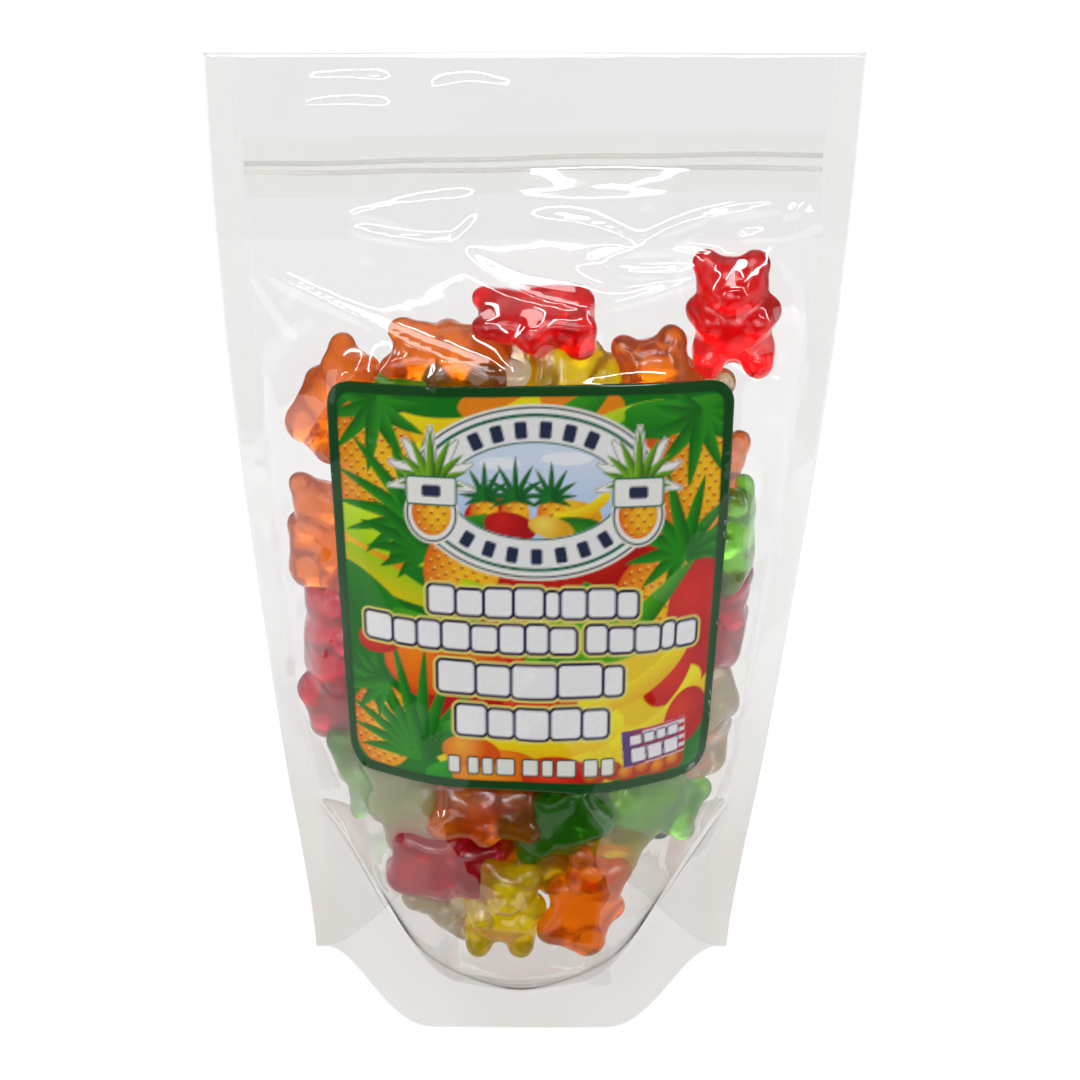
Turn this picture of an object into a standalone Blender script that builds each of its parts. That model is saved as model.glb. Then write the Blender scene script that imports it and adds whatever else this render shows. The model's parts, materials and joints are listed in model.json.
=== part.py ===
"""A clear stand-up zip pouch of gummy bears: the filled pouch, its zip strip and its front label.

+Z is up, the label faces -Y, and the origin is the middle of the base. Lengths are in metres.
"""

import functools
import math

import bmesh
import bpy
from mathutils import Vector

# The pouch, laid flat
POUCH_WIDTH = 0.120
POUCH_HEIGHT = 0.200
SIDE_SEAL_WIDTH = 0.006
SIDE_SEAL_THICKNESS = 0.0008
BOTTOM_SEAL_HEIGHT = 0.010
GUSSET_FOLD_HEIGHT = 0.040

# The pouch, filled
BASE_HALF_DEPTH = 0.0277
ZIP_HALF_DEPTH = 0.0012
RIM_HALF_DEPTH = 0.0006
WEDGE_EXPONENT = 1.43
BASE_FLAT_SHARE = 0.40
BASE_CORNER_EXPONENT = 1.15
LENS_EXPONENT = 2.2
LENS_FROM_HEIGHT = 0.070

# The skirt under the gusset
SKIRT_THICKNESS = 0.0009
GUSSET_FLAT_SHARE = 0.30
GUSSET_BOWL_EXPONENT = 3.0
GUSSET_SEAL_EXPONENT = 1.6
GUSSET_CONTACT_DIP = 0.001
GUSSET_END_SHARE = 0.92
CUTTER_DEPTH = 0.004

# The zip strip
ZIP_HEIGHT = 0.1800
ZIP_STRIP_HEIGHT = 0.0060
ZIP_STRIP_THICKNESS = 0.0028
ZIP_ROUNDING = 0.0009
ZIP_WINDOW_DEPTH = 0.011
FIT_GAP = 0.0003

# The label
LABEL_WIDTH = 0.078
LABEL_TOP = 0.1407
LABEL_BOTTOM = 0.0577
LABEL_CORNER = 0.005
LABEL_THICKNESS = 0.0004

# How finely the surfaces are divided
COLUMNS = 28
ROWS = 30
SECTION_STEPS = 60
GUSSET_COLUMNS = 30
GUSSET_WALL_STEPS = 4
GUSSET_ACROSS_STEPS = 11
LABEL_COLUMNS = 20
LABEL_ROWS = 16
LABEL_CORNER_STEPS = 4
ROUNDING_STEPS = 3
WIDTH_SEARCH_STEPS = 30
NORMAL_STEP = 0.0005
HARD_EDGE = math.radians(40)


def clear_scene():
    for obj in list(bpy.data.objects):
        bpy.data.objects.remove(obj)


def smooth(t):
    t = min(max(t, 0.0), 1.0)
    return t * t * (3 - 2 * t)


def half_depth(z):
    """How far the film stands out from the middle plane, at the pouch's centre line."""
    if z >= ZIP_HEIGHT:
        share = (z - ZIP_HEIGHT) / (POUCH_HEIGHT - ZIP_HEIGHT)
        return ZIP_HALF_DEPTH + (RIM_HALF_DEPTH - ZIP_HALF_DEPTH) * share
    wedge = 1 - (z / ZIP_HEIGHT) ** WEDGE_EXPONENT
    return ZIP_HALF_DEPTH + (BASE_HALF_DEPTH - ZIP_HALF_DEPTH) * wedge


def bulge(u, z):
    """The section's shape at height z: 1 at the centre, 0 at the side seal. It is a flat front with
    hollow shoulders at the base, where the gusset holds it open, and a lens further up."""
    u = min(abs(u), 1.0)
    ramp = max(0.0, (u - BASE_FLAT_SHARE) / (1 - BASE_FLAT_SHARE))
    base = 1 - smooth(ramp**BASE_CORNER_EXPONENT)
    lens = 1 - u**LENS_EXPONENT
    share = smooth(z / LENS_FROM_HEIGHT)
    return base * (1 - share) + lens * share


def film_depth(u, z):
    rest = SIDE_SEAL_THICKNESS / 2
    return rest + (half_depth(z) - rest) * bulge(u, z)


def film_length(inner_half_width, z):
    """The film's length across half a section, from the centre line to the side seal."""
    points = [
        Vector((inner_half_width * i / SECTION_STEPS, film_depth(i / SECTION_STEPS, z)))
        for i in range(SECTION_STEPS + 1)
    ]
    return sum((b - a).length for a, b in zip(points, points[1:]))


@functools.lru_cache(maxsize=None)
def inner_half_width(z):
    """Film doesn't stretch, so the fuller the section is, the closer its side seals come."""
    flat = POUCH_WIDTH / 2 - SIDE_SEAL_WIDTH
    low, high = flat / 2, flat
    for _ in range(WIDTH_SEARCH_STEPS):
        middle = (low + high) / 2
        if film_length(middle, z) > flat:
            high = middle
        else:
            low = middle
    return low


def film_point(u, z, side):
    """A point on the front film (side -1) or the back film (side 1)."""
    return Vector((u * inner_half_width(z), side * film_depth(u, z), z))


def film_at(s, z):
    """The point on the front film that lies s along the film from the centre line."""
    half_width = inner_half_width(z)
    sign = -1 if s < 0 else 1
    left = abs(s)
    previous = Vector((0, film_depth(0, z)))
    for i in range(1, SECTION_STEPS + 1):
        u = i / SECTION_STEPS
        point = Vector((u * half_width, film_depth(u, z)))
        step = (point - previous).length
        if left <= step:
            found = previous.lerp(point, left / step)
            return Vector((sign * found.x, -found.y, z))
        left -= step
        previous = point
    return Vector((sign * (half_width + left), -SIDE_SEAL_THICKNESS / 2, z))


def film_normal(s, z):
    """The front film's outward direction there."""
    across = film_at(s + NORMAL_STEP, z) - film_at(s - NORMAL_STEP, z)
    up = film_at(s, z + NORMAL_STEP) - film_at(s, z - NORMAL_STEP)
    return across.cross(up).normalized()


def new_material(name, colour, roughness, alpha=1.0):
    material = bpy.data.materials.new(name)
    material.use_nodes = True
    shader = material.node_tree.nodes["Principled BSDF"]
    shader.inputs["Base Color"].default_value = (*colour, 1)
    shader.inputs["Roughness"].default_value = roughness
    shader.inputs["Metallic"].default_value = 0
    shader.inputs["Alpha"].default_value = alpha
    return material


def new_object(name, mesh, collection, material=None):
    obj = bpy.data.objects.new(name, mesh)
    collection.objects.link(obj)
    if material:
        mesh.materials.append(material)
    return obj


def loft(name, sections):
    """A closed mesh through closed sections that all have the same number of points."""
    bm = bmesh.new()
    rings = [[bm.verts.new(point) for point in section] for section in sections]
    count = len(rings[0])
    for lower, upper in zip(rings, rings[1:]):
        for i in range(count):
            j = (i + 1) % count
            bm.faces.new((lower[i], lower[j], upper[j], upper[i]))
    for ring in (rings[0], rings[-1]):
        close_across(bm, ring)
    bmesh.ops.recalc_face_normals(bm, faces=bm.faces)
    mesh = bpy.data.meshes.new(name)
    bm.to_mesh(mesh)
    bm.free()
    return mesh


def close_across(bm, ring):
    """Closes a ring whose second half runs back along its first half with strips across it."""
    count = len(ring)
    for i in range(count // 2 - 1):
        j = count - 1 - i
        bm.faces.new((ring[i], ring[i + 1], ring[j - 1], ring[j]))


def pouch_section(z):
    """The pouch's outline at height z, front film first, then back along the back film."""
    half_width = inner_half_width(z)
    seal_edge = Vector((half_width + SIDE_SEAL_WIDTH, -SIDE_SEAL_THICKNESS / 2, z))
    front = [Vector((-seal_edge.x, seal_edge.y, z))]
    front += [film_point(-1 + 2 * i / COLUMNS, z, -1) for i in range(COLUMNS + 1)]
    front.append(seal_edge)
    back = [Vector((p.x, -p.y, z)) for p in reversed(front)]
    return front + back


def gusset_seal_height(u):
    """The height of the seal between the gusset and a panel: low at the centre, up to the fold."""
    rise = GUSSET_FOLD_HEIGHT - BOTTOM_SEAL_HEIGHT
    return BOTTOM_SEAL_HEIGHT + rise * abs(u) ** GUSSET_SEAL_EXPONENT


def gusset_height(u, v):
    """The gusset film's height, u across the pouch and v from its back to its front. The filling
    presses it flat on the table in the middle, and it rises to its fold at the side seals."""
    middle = GUSSET_FOLD_HEIGHT * smooth((abs(u) - GUSSET_FLAT_SHARE) / (1 - GUSSET_FLAT_SHARE))
    rise = abs(v) ** GUSSET_BOWL_EXPONENT
    height = middle + (gusset_seal_height(u) - middle) * rise
    return height - GUSSET_CONTACT_DIP * (1 - rise)


def gusset_section(u):
    """The outline, at u, of the hollow between the skirts: bottom, front wall, gusset, back wall."""
    seal = gusset_seal_height(u)

    def wall_point(z, v):
        x = u * inner_half_width(max(z, 0))
        return Vector((x, v * (film_depth(u, max(z, 0)) - SKIRT_THICKNESS), z))

    heights = [-CUTTER_DEPTH]
    heights += [seal * i / GUSSET_WALL_STEPS for i in range(GUSSET_WALL_STEPS + 1)]
    section = [wall_point(z, -1) for z in heights]
    for i in range(1, GUSSET_ACROSS_STEPS):
        v = -1 + 2 * i / GUSSET_ACROSS_STEPS
        inner = wall_point(seal, v)
        section.append(Vector((inner.x, inner.y, gusset_height(u, v))))
    section += [wall_point(z, 1) for z in reversed(heights)]
    return section


def cut(obj, cutter):
    modifier = obj.modifiers.new("cut_" + cutter.name, "BOOLEAN")
    modifier.operation = "DIFFERENCE"
    modifier.object = cutter
    modifier.solver = "EXACT"


def new_cutter(name, mesh, collection):
    cutter = new_object(name, mesh, collection)
    cutter.hide_render = True
    cutter.display_type = "WIRE"
    return cutter


def box_mesh(name, size):
    bm = bmesh.new()
    bmesh.ops.create_cube(bm, size=1)
    bmesh.ops.scale(bm, vec=size, verts=bm.verts)
    mesh = bpy.data.meshes.new(name)
    bm.to_mesh(mesh)
    bm.free()
    return mesh


def zip_window_half_width():
    return inner_half_width(ZIP_HEIGHT) - FIT_GAP


def make_pouch(parts, cutters, material):
    sections = [pouch_section(POUCH_HEIGHT * i / ROWS) for i in range(ROWS + 1)]
    pouch = new_object("pouch", loft("pouch", sections), parts, material)

    shares = [GUSSET_END_SHARE * (-1 + 2 * i / GUSSET_COLUMNS) for i in range(GUSSET_COLUMNS + 1)]
    hollow = loft("gusset_hollow", [gusset_section(u) for u in shares])
    cut(pouch, new_cutter("gusset_hollow", hollow, cutters))

    window_size = (2 * zip_window_half_width(), ZIP_WINDOW_DEPTH, ZIP_STRIP_HEIGHT)
    window = new_cutter("zip_window", box_mesh("zip_window", window_size), cutters)
    window.location = (0, 0, ZIP_HEIGHT)
    cut(pouch, window)
    pouch.data.shade_smooth()
    pouch.data.set_sharp_from_angle(angle=HARD_EDGE)
    return pouch


def make_zip_strip(parts, material):
    """The two interlocked profiles of the press-to-close zip, as one bar between the side seals."""
    size = (
        2 * (zip_window_half_width() - FIT_GAP),
        ZIP_STRIP_THICKNESS,
        ZIP_STRIP_HEIGHT - 2 * FIT_GAP,
    )
    strip = new_object("zip_strip", box_mesh("zip_strip", size), parts, material)
    strip.location = (0, 0, ZIP_HEIGHT)
    rounding = strip.modifiers.new("rounding", "BEVEL")
    rounding.width = ZIP_ROUNDING
    rounding.segments = ROUNDING_STEPS
    rounding.limit_method = "ANGLE"
    strip.data.shade_smooth()
    strip.data.set_sharp_from_angle(angle=HARD_EDGE)
    return strip


def label_rows():
    """(height, half width) of each row of the label, from its bottom to its top, corners rounded."""
    corner = [
        (LABEL_CORNER * (1 - math.cos(angle)), LABEL_CORNER * (1 - math.sin(angle)))
        for angle in (math.pi / 2 * i / LABEL_CORNER_STEPS for i in range(LABEL_CORNER_STEPS + 1))
    ]
    half = LABEL_WIDTH / 2
    rows = [(LABEL_BOTTOM + rise, half - pull) for rise, pull in corner]
    straight = LABEL_TOP - LABEL_BOTTOM - 2 * LABEL_CORNER
    rows += [
        (LABEL_BOTTOM + LABEL_CORNER + straight * i / LABEL_ROWS, half)
        for i in range(1, LABEL_ROWS)
    ]
    rows += [(LABEL_TOP - rise, half - pull) for rise, pull in reversed(corner)]
    return rows


def make_label(parts, material):
    """The printed label, which follows the front film."""
    bm = bmesh.new()
    rows = []
    for z, half in label_rows():
        row = []
        for i in range(LABEL_COLUMNS + 1):
            s = half * (-1 + 2 * i / LABEL_COLUMNS)
            row.append(bm.verts.new(film_at(s, z) + film_normal(s, z) * FIT_GAP))
        rows.append(row)
    for lower, upper in zip(rows, rows[1:]):
        for i in range(LABEL_COLUMNS):
            bm.faces.new((lower[i], lower[i + 1], upper[i + 1], upper[i]))
    mesh = bpy.data.meshes.new("label")
    bm.to_mesh(mesh)
    bm.free()
    label = new_object("label", mesh, parts, material)
    wall = label.modifiers.new("paper", "SOLIDIFY")
    wall.thickness = LABEL_THICKNESS
    wall.offset = 1
    label.data.shade_smooth()
    label.data.set_sharp_from_angle(angle=HARD_EDGE)
    return label


def new_collection(name):
    collection = bpy.data.collections.new(name)
    bpy.context.scene.collection.children.link(collection)
    return collection


def main():
    clear_scene()
    parts = new_collection("gummy_bear_pouch")
    cutters = new_collection("cutters")
    film = new_material("clear_film", (0.90, 0.90, 0.90), 0.12, alpha=0.35)
    zip_plastic = new_material("zip_plastic", (0.92, 0.92, 0.90), 0.30, alpha=0.6)
    paper = new_material("label_paper", (0.10, 0.42, 0.12), 0.35)
    make_pouch(parts, cutters, film)
    make_zip_strip(parts, zip_plastic)
    make_label(parts, paper)


main()
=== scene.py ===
"""Builds the looks of a clear stand-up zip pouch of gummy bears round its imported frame.

Lengths are in metres, +Z is up, and the label faces -Y.
"""

import json
import math

import bmesh
import bpy
import numpy as np
from mathutils import Matrix, Vector

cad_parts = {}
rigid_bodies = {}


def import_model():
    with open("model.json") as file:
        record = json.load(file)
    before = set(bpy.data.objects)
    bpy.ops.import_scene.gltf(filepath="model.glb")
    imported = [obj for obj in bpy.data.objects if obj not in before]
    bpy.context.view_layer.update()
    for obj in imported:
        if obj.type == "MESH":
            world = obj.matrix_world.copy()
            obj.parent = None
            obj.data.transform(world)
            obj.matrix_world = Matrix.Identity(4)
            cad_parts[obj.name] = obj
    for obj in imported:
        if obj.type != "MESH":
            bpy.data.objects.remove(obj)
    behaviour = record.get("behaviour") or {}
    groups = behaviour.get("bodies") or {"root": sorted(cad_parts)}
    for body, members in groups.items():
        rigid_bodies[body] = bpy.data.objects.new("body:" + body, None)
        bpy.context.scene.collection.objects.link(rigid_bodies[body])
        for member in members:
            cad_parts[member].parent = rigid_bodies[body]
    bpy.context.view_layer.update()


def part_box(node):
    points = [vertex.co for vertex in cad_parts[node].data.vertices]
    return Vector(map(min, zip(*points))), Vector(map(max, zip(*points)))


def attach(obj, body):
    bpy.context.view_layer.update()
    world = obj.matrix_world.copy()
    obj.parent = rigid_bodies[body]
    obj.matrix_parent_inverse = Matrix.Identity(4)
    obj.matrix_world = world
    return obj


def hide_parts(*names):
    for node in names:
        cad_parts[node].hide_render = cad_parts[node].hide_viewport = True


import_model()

bl_info = {
    "name": "Gummy Bear Pouch",
    "version": (1, 0, 0),
    "blender": (4, 5, 0),
    "location": "3D View > Sidebar > Pouch",
    "description": "Builds a clear stand-up zip pouch filled with gummy bears",
    "category": "Add Mesh",
}

MM = 0.001
BODY = "root"

# The pouch's own sizes, from the frame
POUCH_LOW, POUCH_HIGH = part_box("pouch")
ZIP_LOW, ZIP_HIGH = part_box("zip_strip")
LABEL_LOW, LABEL_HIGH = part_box("label")
POUCH_WIDTH = POUCH_HIGH.x - POUCH_LOW.x
POUCH_HEIGHT = POUCH_HIGH.z - POUCH_LOW.z
BASE_HALF_DEPTH = (POUCH_HIGH.y - POUCH_LOW.y) / 2
ZIP_HEIGHT = (ZIP_LOW.z + ZIP_HIGH.z) / 2
LABEL_BOTTOM = LABEL_LOW.z
LABEL_TOP = LABEL_HIGH.z

# How the film stands when the pouch is full
SIDE_SEAL_WIDTH = 6 * MM
SEAL_HALF_THICKNESS = 0.15 * MM
ZIP_HALF_DEPTH = 1.2 * MM
RIM_HALF_DEPTH = 0.6 * MM
WEDGE_EXPONENT = 1.43
BASE_FLAT_SHARE = 0.40
BASE_CORNER_EXPONENT = 1.15
LENS_EXPONENT = 2.7
LENS_FROM_HEIGHT = 70 * MM
BOTTOM_SEAL_HEIGHT = 10 * MM
GUSSET_FOLD_HEIGHT = 40 * MM
GUSSET_FLAT_SHARE = 0.30
GUSSET_BOWL_EXPONENT = 3.0
GUSSET_SEAL_EXPONENT = 1.6
GUSSET_LOWEST = 0.25 * MM
GUSSET_CLEARANCE = 0.4 * MM
# Below this height the side seals splay out, by this share at the very bottom.
SPLAY_BELOW = 36 * MM
SPLAY_SHARE = 0.12
# The filled pouch leans a little to its left, the viewer's right.
LEAN = 0.0167
LEAN_ABOUT = 100 * MM

# How finely the film is divided
SECTION_STEPS = 60
FILM_COLUMNS = 168
FILM_ROWS = 250
GUSSET_COLUMNS = 96
GUSSET_ROWS = 48


def linear(code):
    """An sRGB hex colour as linear red, green and blue."""
    channels = [int(code[i : i + 2], 16) / 255 for i in (1, 3, 5)]
    return [c / 12.92 if c <= 0.04045 else ((c + 0.055) / 1.055) ** 2.4 for c in channels]


def smooth(t):
    t = np.clip(t, 0.0, 1.0)
    return t * t * (3 - 2 * t)


# The film's rest shape


def half_depth(z):
    """How far the film stands out from the middle plane, at the pouch's centre line."""
    z = np.clip(z, 0, POUCH_HEIGHT)
    share = (z - ZIP_HEIGHT) / (POUCH_HEIGHT - ZIP_HEIGHT)
    above = ZIP_HALF_DEPTH + (RIM_HALF_DEPTH - ZIP_HALF_DEPTH) * share
    wedge = 1 - np.minimum(z / ZIP_HEIGHT, 1) ** WEDGE_EXPONENT
    below = ZIP_HALF_DEPTH + (BASE_HALF_DEPTH - ZIP_HALF_DEPTH) * wedge
    return np.where(z >= ZIP_HEIGHT, above, below)


def film_depth(u, z):
    """The film's depth at the share u of the way from the centre line to a side seal."""
    u = np.minimum(np.abs(u), 1.0)
    ramp = np.maximum(0.0, (u - BASE_FLAT_SHARE) / (1 - BASE_FLAT_SHARE))
    base = 1 - smooth(ramp**BASE_CORNER_EXPONENT)
    lens = 1 - u**LENS_EXPONENT
    share = smooth(z / LENS_FROM_HEIGHT)
    bulge = base * (1 - share) + lens * share
    return SEAL_HALF_THICKNESS + (half_depth(z) - SEAL_HALF_THICKNESS) * bulge


def width_table():
    """Heights, and the half width between the side seals at each: film doesn't stretch, so the
    fuller the section is, the closer its side seals come."""
    heights = np.linspace(0, POUCH_HEIGHT, 201)
    u = np.linspace(0, 1, SECTION_STEPS + 1)
    depth = film_depth(u[None, :], heights[:, None])
    flat = POUCH_WIDTH / 2 - SIDE_SEAL_WIDTH
    low, high = np.full(len(heights), flat / 2), np.full(len(heights), flat)
    for _ in range(30):
        middle = (low + high) / 2
        step_x = middle[:, None] * np.diff(u)[None, :]
        length = np.hypot(step_x, np.diff(depth, axis=1)).sum(axis=1)
        high = np.where(length > flat, middle, high)
        low = np.where(length > flat, low, middle)
    return heights, low


WIDTH_HEIGHTS, WIDTH_VALUES = width_table()


def inner_half_width(z):
    splay = 1 + SPLAY_SHARE * smooth((SPLAY_BELOW - np.asarray(z)) / SPLAY_BELOW)
    return np.interp(z, WIDTH_HEIGHTS, WIDTH_VALUES) * splay


def film_rest(s, z):
    """x and depth of the film s along it from the centre line, for rows z and columns s."""
    u = np.linspace(0, 1, SECTION_STEPS + 1)
    x, depth = np.empty((len(z), len(s))), np.empty((len(z), len(s)))
    for row, height in enumerate(z):
        half_width = float(inner_half_width(height))
        across, out = u * half_width, film_depth(u, height)
        arc = np.concatenate([[0], np.cumsum(np.hypot(np.diff(across), np.diff(out)))])
        along = np.abs(s)
        over = np.maximum(along - arc[-1], 0)
        x[row] = np.sign(s) * (np.interp(along, arc, across) + over)
        depth[row] = np.interp(along, arc, out)
    return x, depth


def gusset_seal_height(u):
    """The height of the seal between the gusset and a panel: low at the centre, up to the fold."""
    rise = GUSSET_FOLD_HEIGHT - BOTTOM_SEAL_HEIGHT
    return BOTTOM_SEAL_HEIGHT + rise * np.abs(u) ** GUSSET_SEAL_EXPONENT


def gusset_height(u, v):
    """The gusset film's height, u across the pouch and v from its back to its front."""
    ramp = (np.abs(u) - GUSSET_FLAT_SHARE) / (1 - GUSSET_FLAT_SHARE)
    middle = GUSSET_FOLD_HEIGHT * smooth(ramp)
    rise = np.abs(v) ** GUSSET_BOWL_EXPONENT
    return np.maximum(middle + (gusset_seal_height(u) - middle) * rise, GUSSET_LOWEST)


# Meshes, nodes and pieces


def new_object(name, mesh):
    obj = bpy.data.objects.new(name, mesh)
    bpy.context.scene.collection.objects.link(obj)
    return obj


def mesh_from(name, points, faces):
    mesh = bpy.data.meshes.new(name)
    mesh.from_pydata(np.asarray(points).tolist(), [], faces)
    mesh.shade_smooth()
    return mesh


def grid_faces(rows, columns, start=0):
    corner = start + np.arange(rows - 1)[:, None] * columns + np.arange(columns - 1)[None, :]
    quads = np.stack([corner, corner + 1, corner + columns + 1, corner + columns], axis=-1)
    return quads.reshape(-1, 4).tolist()


def point_attribute(mesh, name, values):
    made = mesh.attributes.new(name, "FLOAT", "POINT")
    made.data.foreach_set("value", np.asarray(values, np.float32).ravel())


def read_points(mesh):
    points = np.empty(len(mesh.vertices) * 3, np.float32)
    mesh.vertices.foreach_get("co", points)
    return points.reshape(-1, 3).astype(float)


def write_points(mesh, points):
    mesh.vertices.foreach_set("co", np.asarray(points, np.float32).ravel())
    mesh.update()


def made_plain(obj, name):
    """A plain mesh object of obj as its modifiers leave it. obj is removed."""
    graph = bpy.context.evaluated_depsgraph_get()
    mesh = bpy.data.meshes.new_from_object(
        obj.evaluated_get(graph), preserve_all_data_layers=True, depsgraph=graph
    )
    bpy.data.objects.remove(obj)
    mesh.name = name
    return new_object(name, mesh)


def add_node(tree, kind, inputs=None, **settings):
    """A node with its settings. An input is a value, or a socket to link from."""
    made = tree.nodes.new(kind)
    for key, value in settings.items():
        setattr(made, key, value)
    for key, value in (inputs or {}).items():
        if isinstance(value, bpy.types.NodeSocket):
            tree.links.new(value, made.inputs[key])
        else:
            made.inputs[key].default_value = value
    return made


def new_material(name):
    """An empty material, its node tree and its output."""
    material = bpy.data.materials.new(name)
    material.use_nodes = True
    tree = material.node_tree
    tree.nodes.clear()
    return material, tree, tree.nodes.new("ShaderNodeOutputMaterial")


def fit_piece(piece, replaced=None):
    points = read_points(piece.data)
    points[:, 0] += LEAN * (points[:, 2] - LEAN_ABOUT)
    write_points(piece.data, points)
    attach(piece, BODY)
    if replaced:
        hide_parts(replaced)


def solidify(obj, thickness, offset):
    wall = obj.modifiers.new("wall", "SOLIDIFY")
    wall.thickness = thickness
    wall.offset = offset
    return wall


# Gummy bears

BEAR_TALL = 24.0
# Each lump of a bear that stands at the origin and faces -Y, in mm: centre, then radii.
BEAR_LUMPS = (
    ((0.0, 0.4, 8.8), (6.8, 4.4, 7.6)),
    ((0.0, -1.7, 8.4), (5.4, 4.2, 5.4)),
    ((0.0, 0.0, 17.4), (6.4, 4.4, 4.8)),
    ((0.0, -4.0, 16.4), (3.0, 2.2, 2.2)),
    ((4.5, 0.7, 21.1), (2.5, 2.2, 2.5)),
    ((-4.5, 0.7, 21.1), (2.5, 2.2, 2.5)),
    ((5.7, -1.0, 12.4), (2.9, 3.0, 2.7)),
    ((-5.7, -1.0, 12.4), (2.9, 3.0, 2.7)),
    ((4.5, -4.0, 11.2), (2.2, 2.4, 2.1)),
    ((-4.5, -4.0, 11.2), (2.2, 2.4, 2.1)),
    ((4.2, -0.8, 4.0), (3.5, 3.8, 3.8)),
    ((-4.2, -0.8, 4.0), (3.5, 3.8, 3.8)),
    ((4.5, -4.5, 3.2), (2.6, 2.4, 2.8)),
    ((-4.5, -4.5, 3.2), (2.6, 2.4, 2.8)),
)
# Small dents: eyes, nostrils and the line between the legs. Centre, radius, depth.
BEAR_DENTS = (
    ((1.7, -4.6, 18.6), 0.7, 0.55),
    ((-1.7, -4.6, 18.6), 0.7, 0.55),
    ((0.0, -6.4, 15.7), 0.8, 0.35),
    ((0.0, -3.0, 2.6), 1.6, 0.8),
)
BLEND_SHARPNESS = 1.35
BACK_PLANE = 3.9
# Balls that stand for a bear while the pouch is filled: centre, radius.
BEAR_BALLS = (
    ((0.0, -0.2, 6.2), 4.6),
    ((0.0, -0.4, 11.0), 4.6),
    ((0.0, -0.1, 17.3), 4.4),
    ((4.1, 0.5, 21.0), 2.4),
    ((-4.1, 0.5, 21.0), 2.4),
    ((4.9, -1.2, 12.6), 2.8),
    ((-4.9, -1.2, 12.6), 2.8),
    ((4.2, -4.4, 11.4), 2.0),
    ((-4.2, -4.4, 11.4), 2.0),
    ((4.2, -0.7, 3.9), 3.3),
    ((-4.2, -0.7, 3.9), 3.3),
    ((4.5, -4.7, 3.0), 2.4),
    ((-4.5, -4.7, 3.0), 2.4),
    ((0.0, -3.9, 16.4), 2.2),
)
BEAR_MIDDLE = (0.0, -0.8, 11.5)
BEAR_SHAPES = 7
BEAR_VOXEL = 0.72

# Flavours: piece name, colour, how deep light goes into it (mm for red, green, blue), clearness
FLAVOURS = (
    ("red", "#FF0A10", (5.0, 0.5, 0.5), 0.80),
    ("raspberry", "#DC1034", (4.5, 0.5, 1.0), 0.75),
    ("orange", "#FF8206", (6.0, 2.4, 0.4), 0.80),
    ("yellow", "#FFE008", (6.0, 4.5, 0.4), 0.72),
    ("green", "#3FA012", (1.2, 4.0, 0.6), 0.76),
    ("lime", "#8CE03C", (2.4, 5.0, 1.0), 0.74),
    ("clear", "#FAECC4", (6.0, 5.2, 3.6), 0.62),
)

# How common each flavour is among the bears that fill the rest of the pouch
FLAVOUR_SHARES = np.array([2.0, 1.3, 2.0, 1.9, 1.7, 1.2, 1.8])

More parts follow.
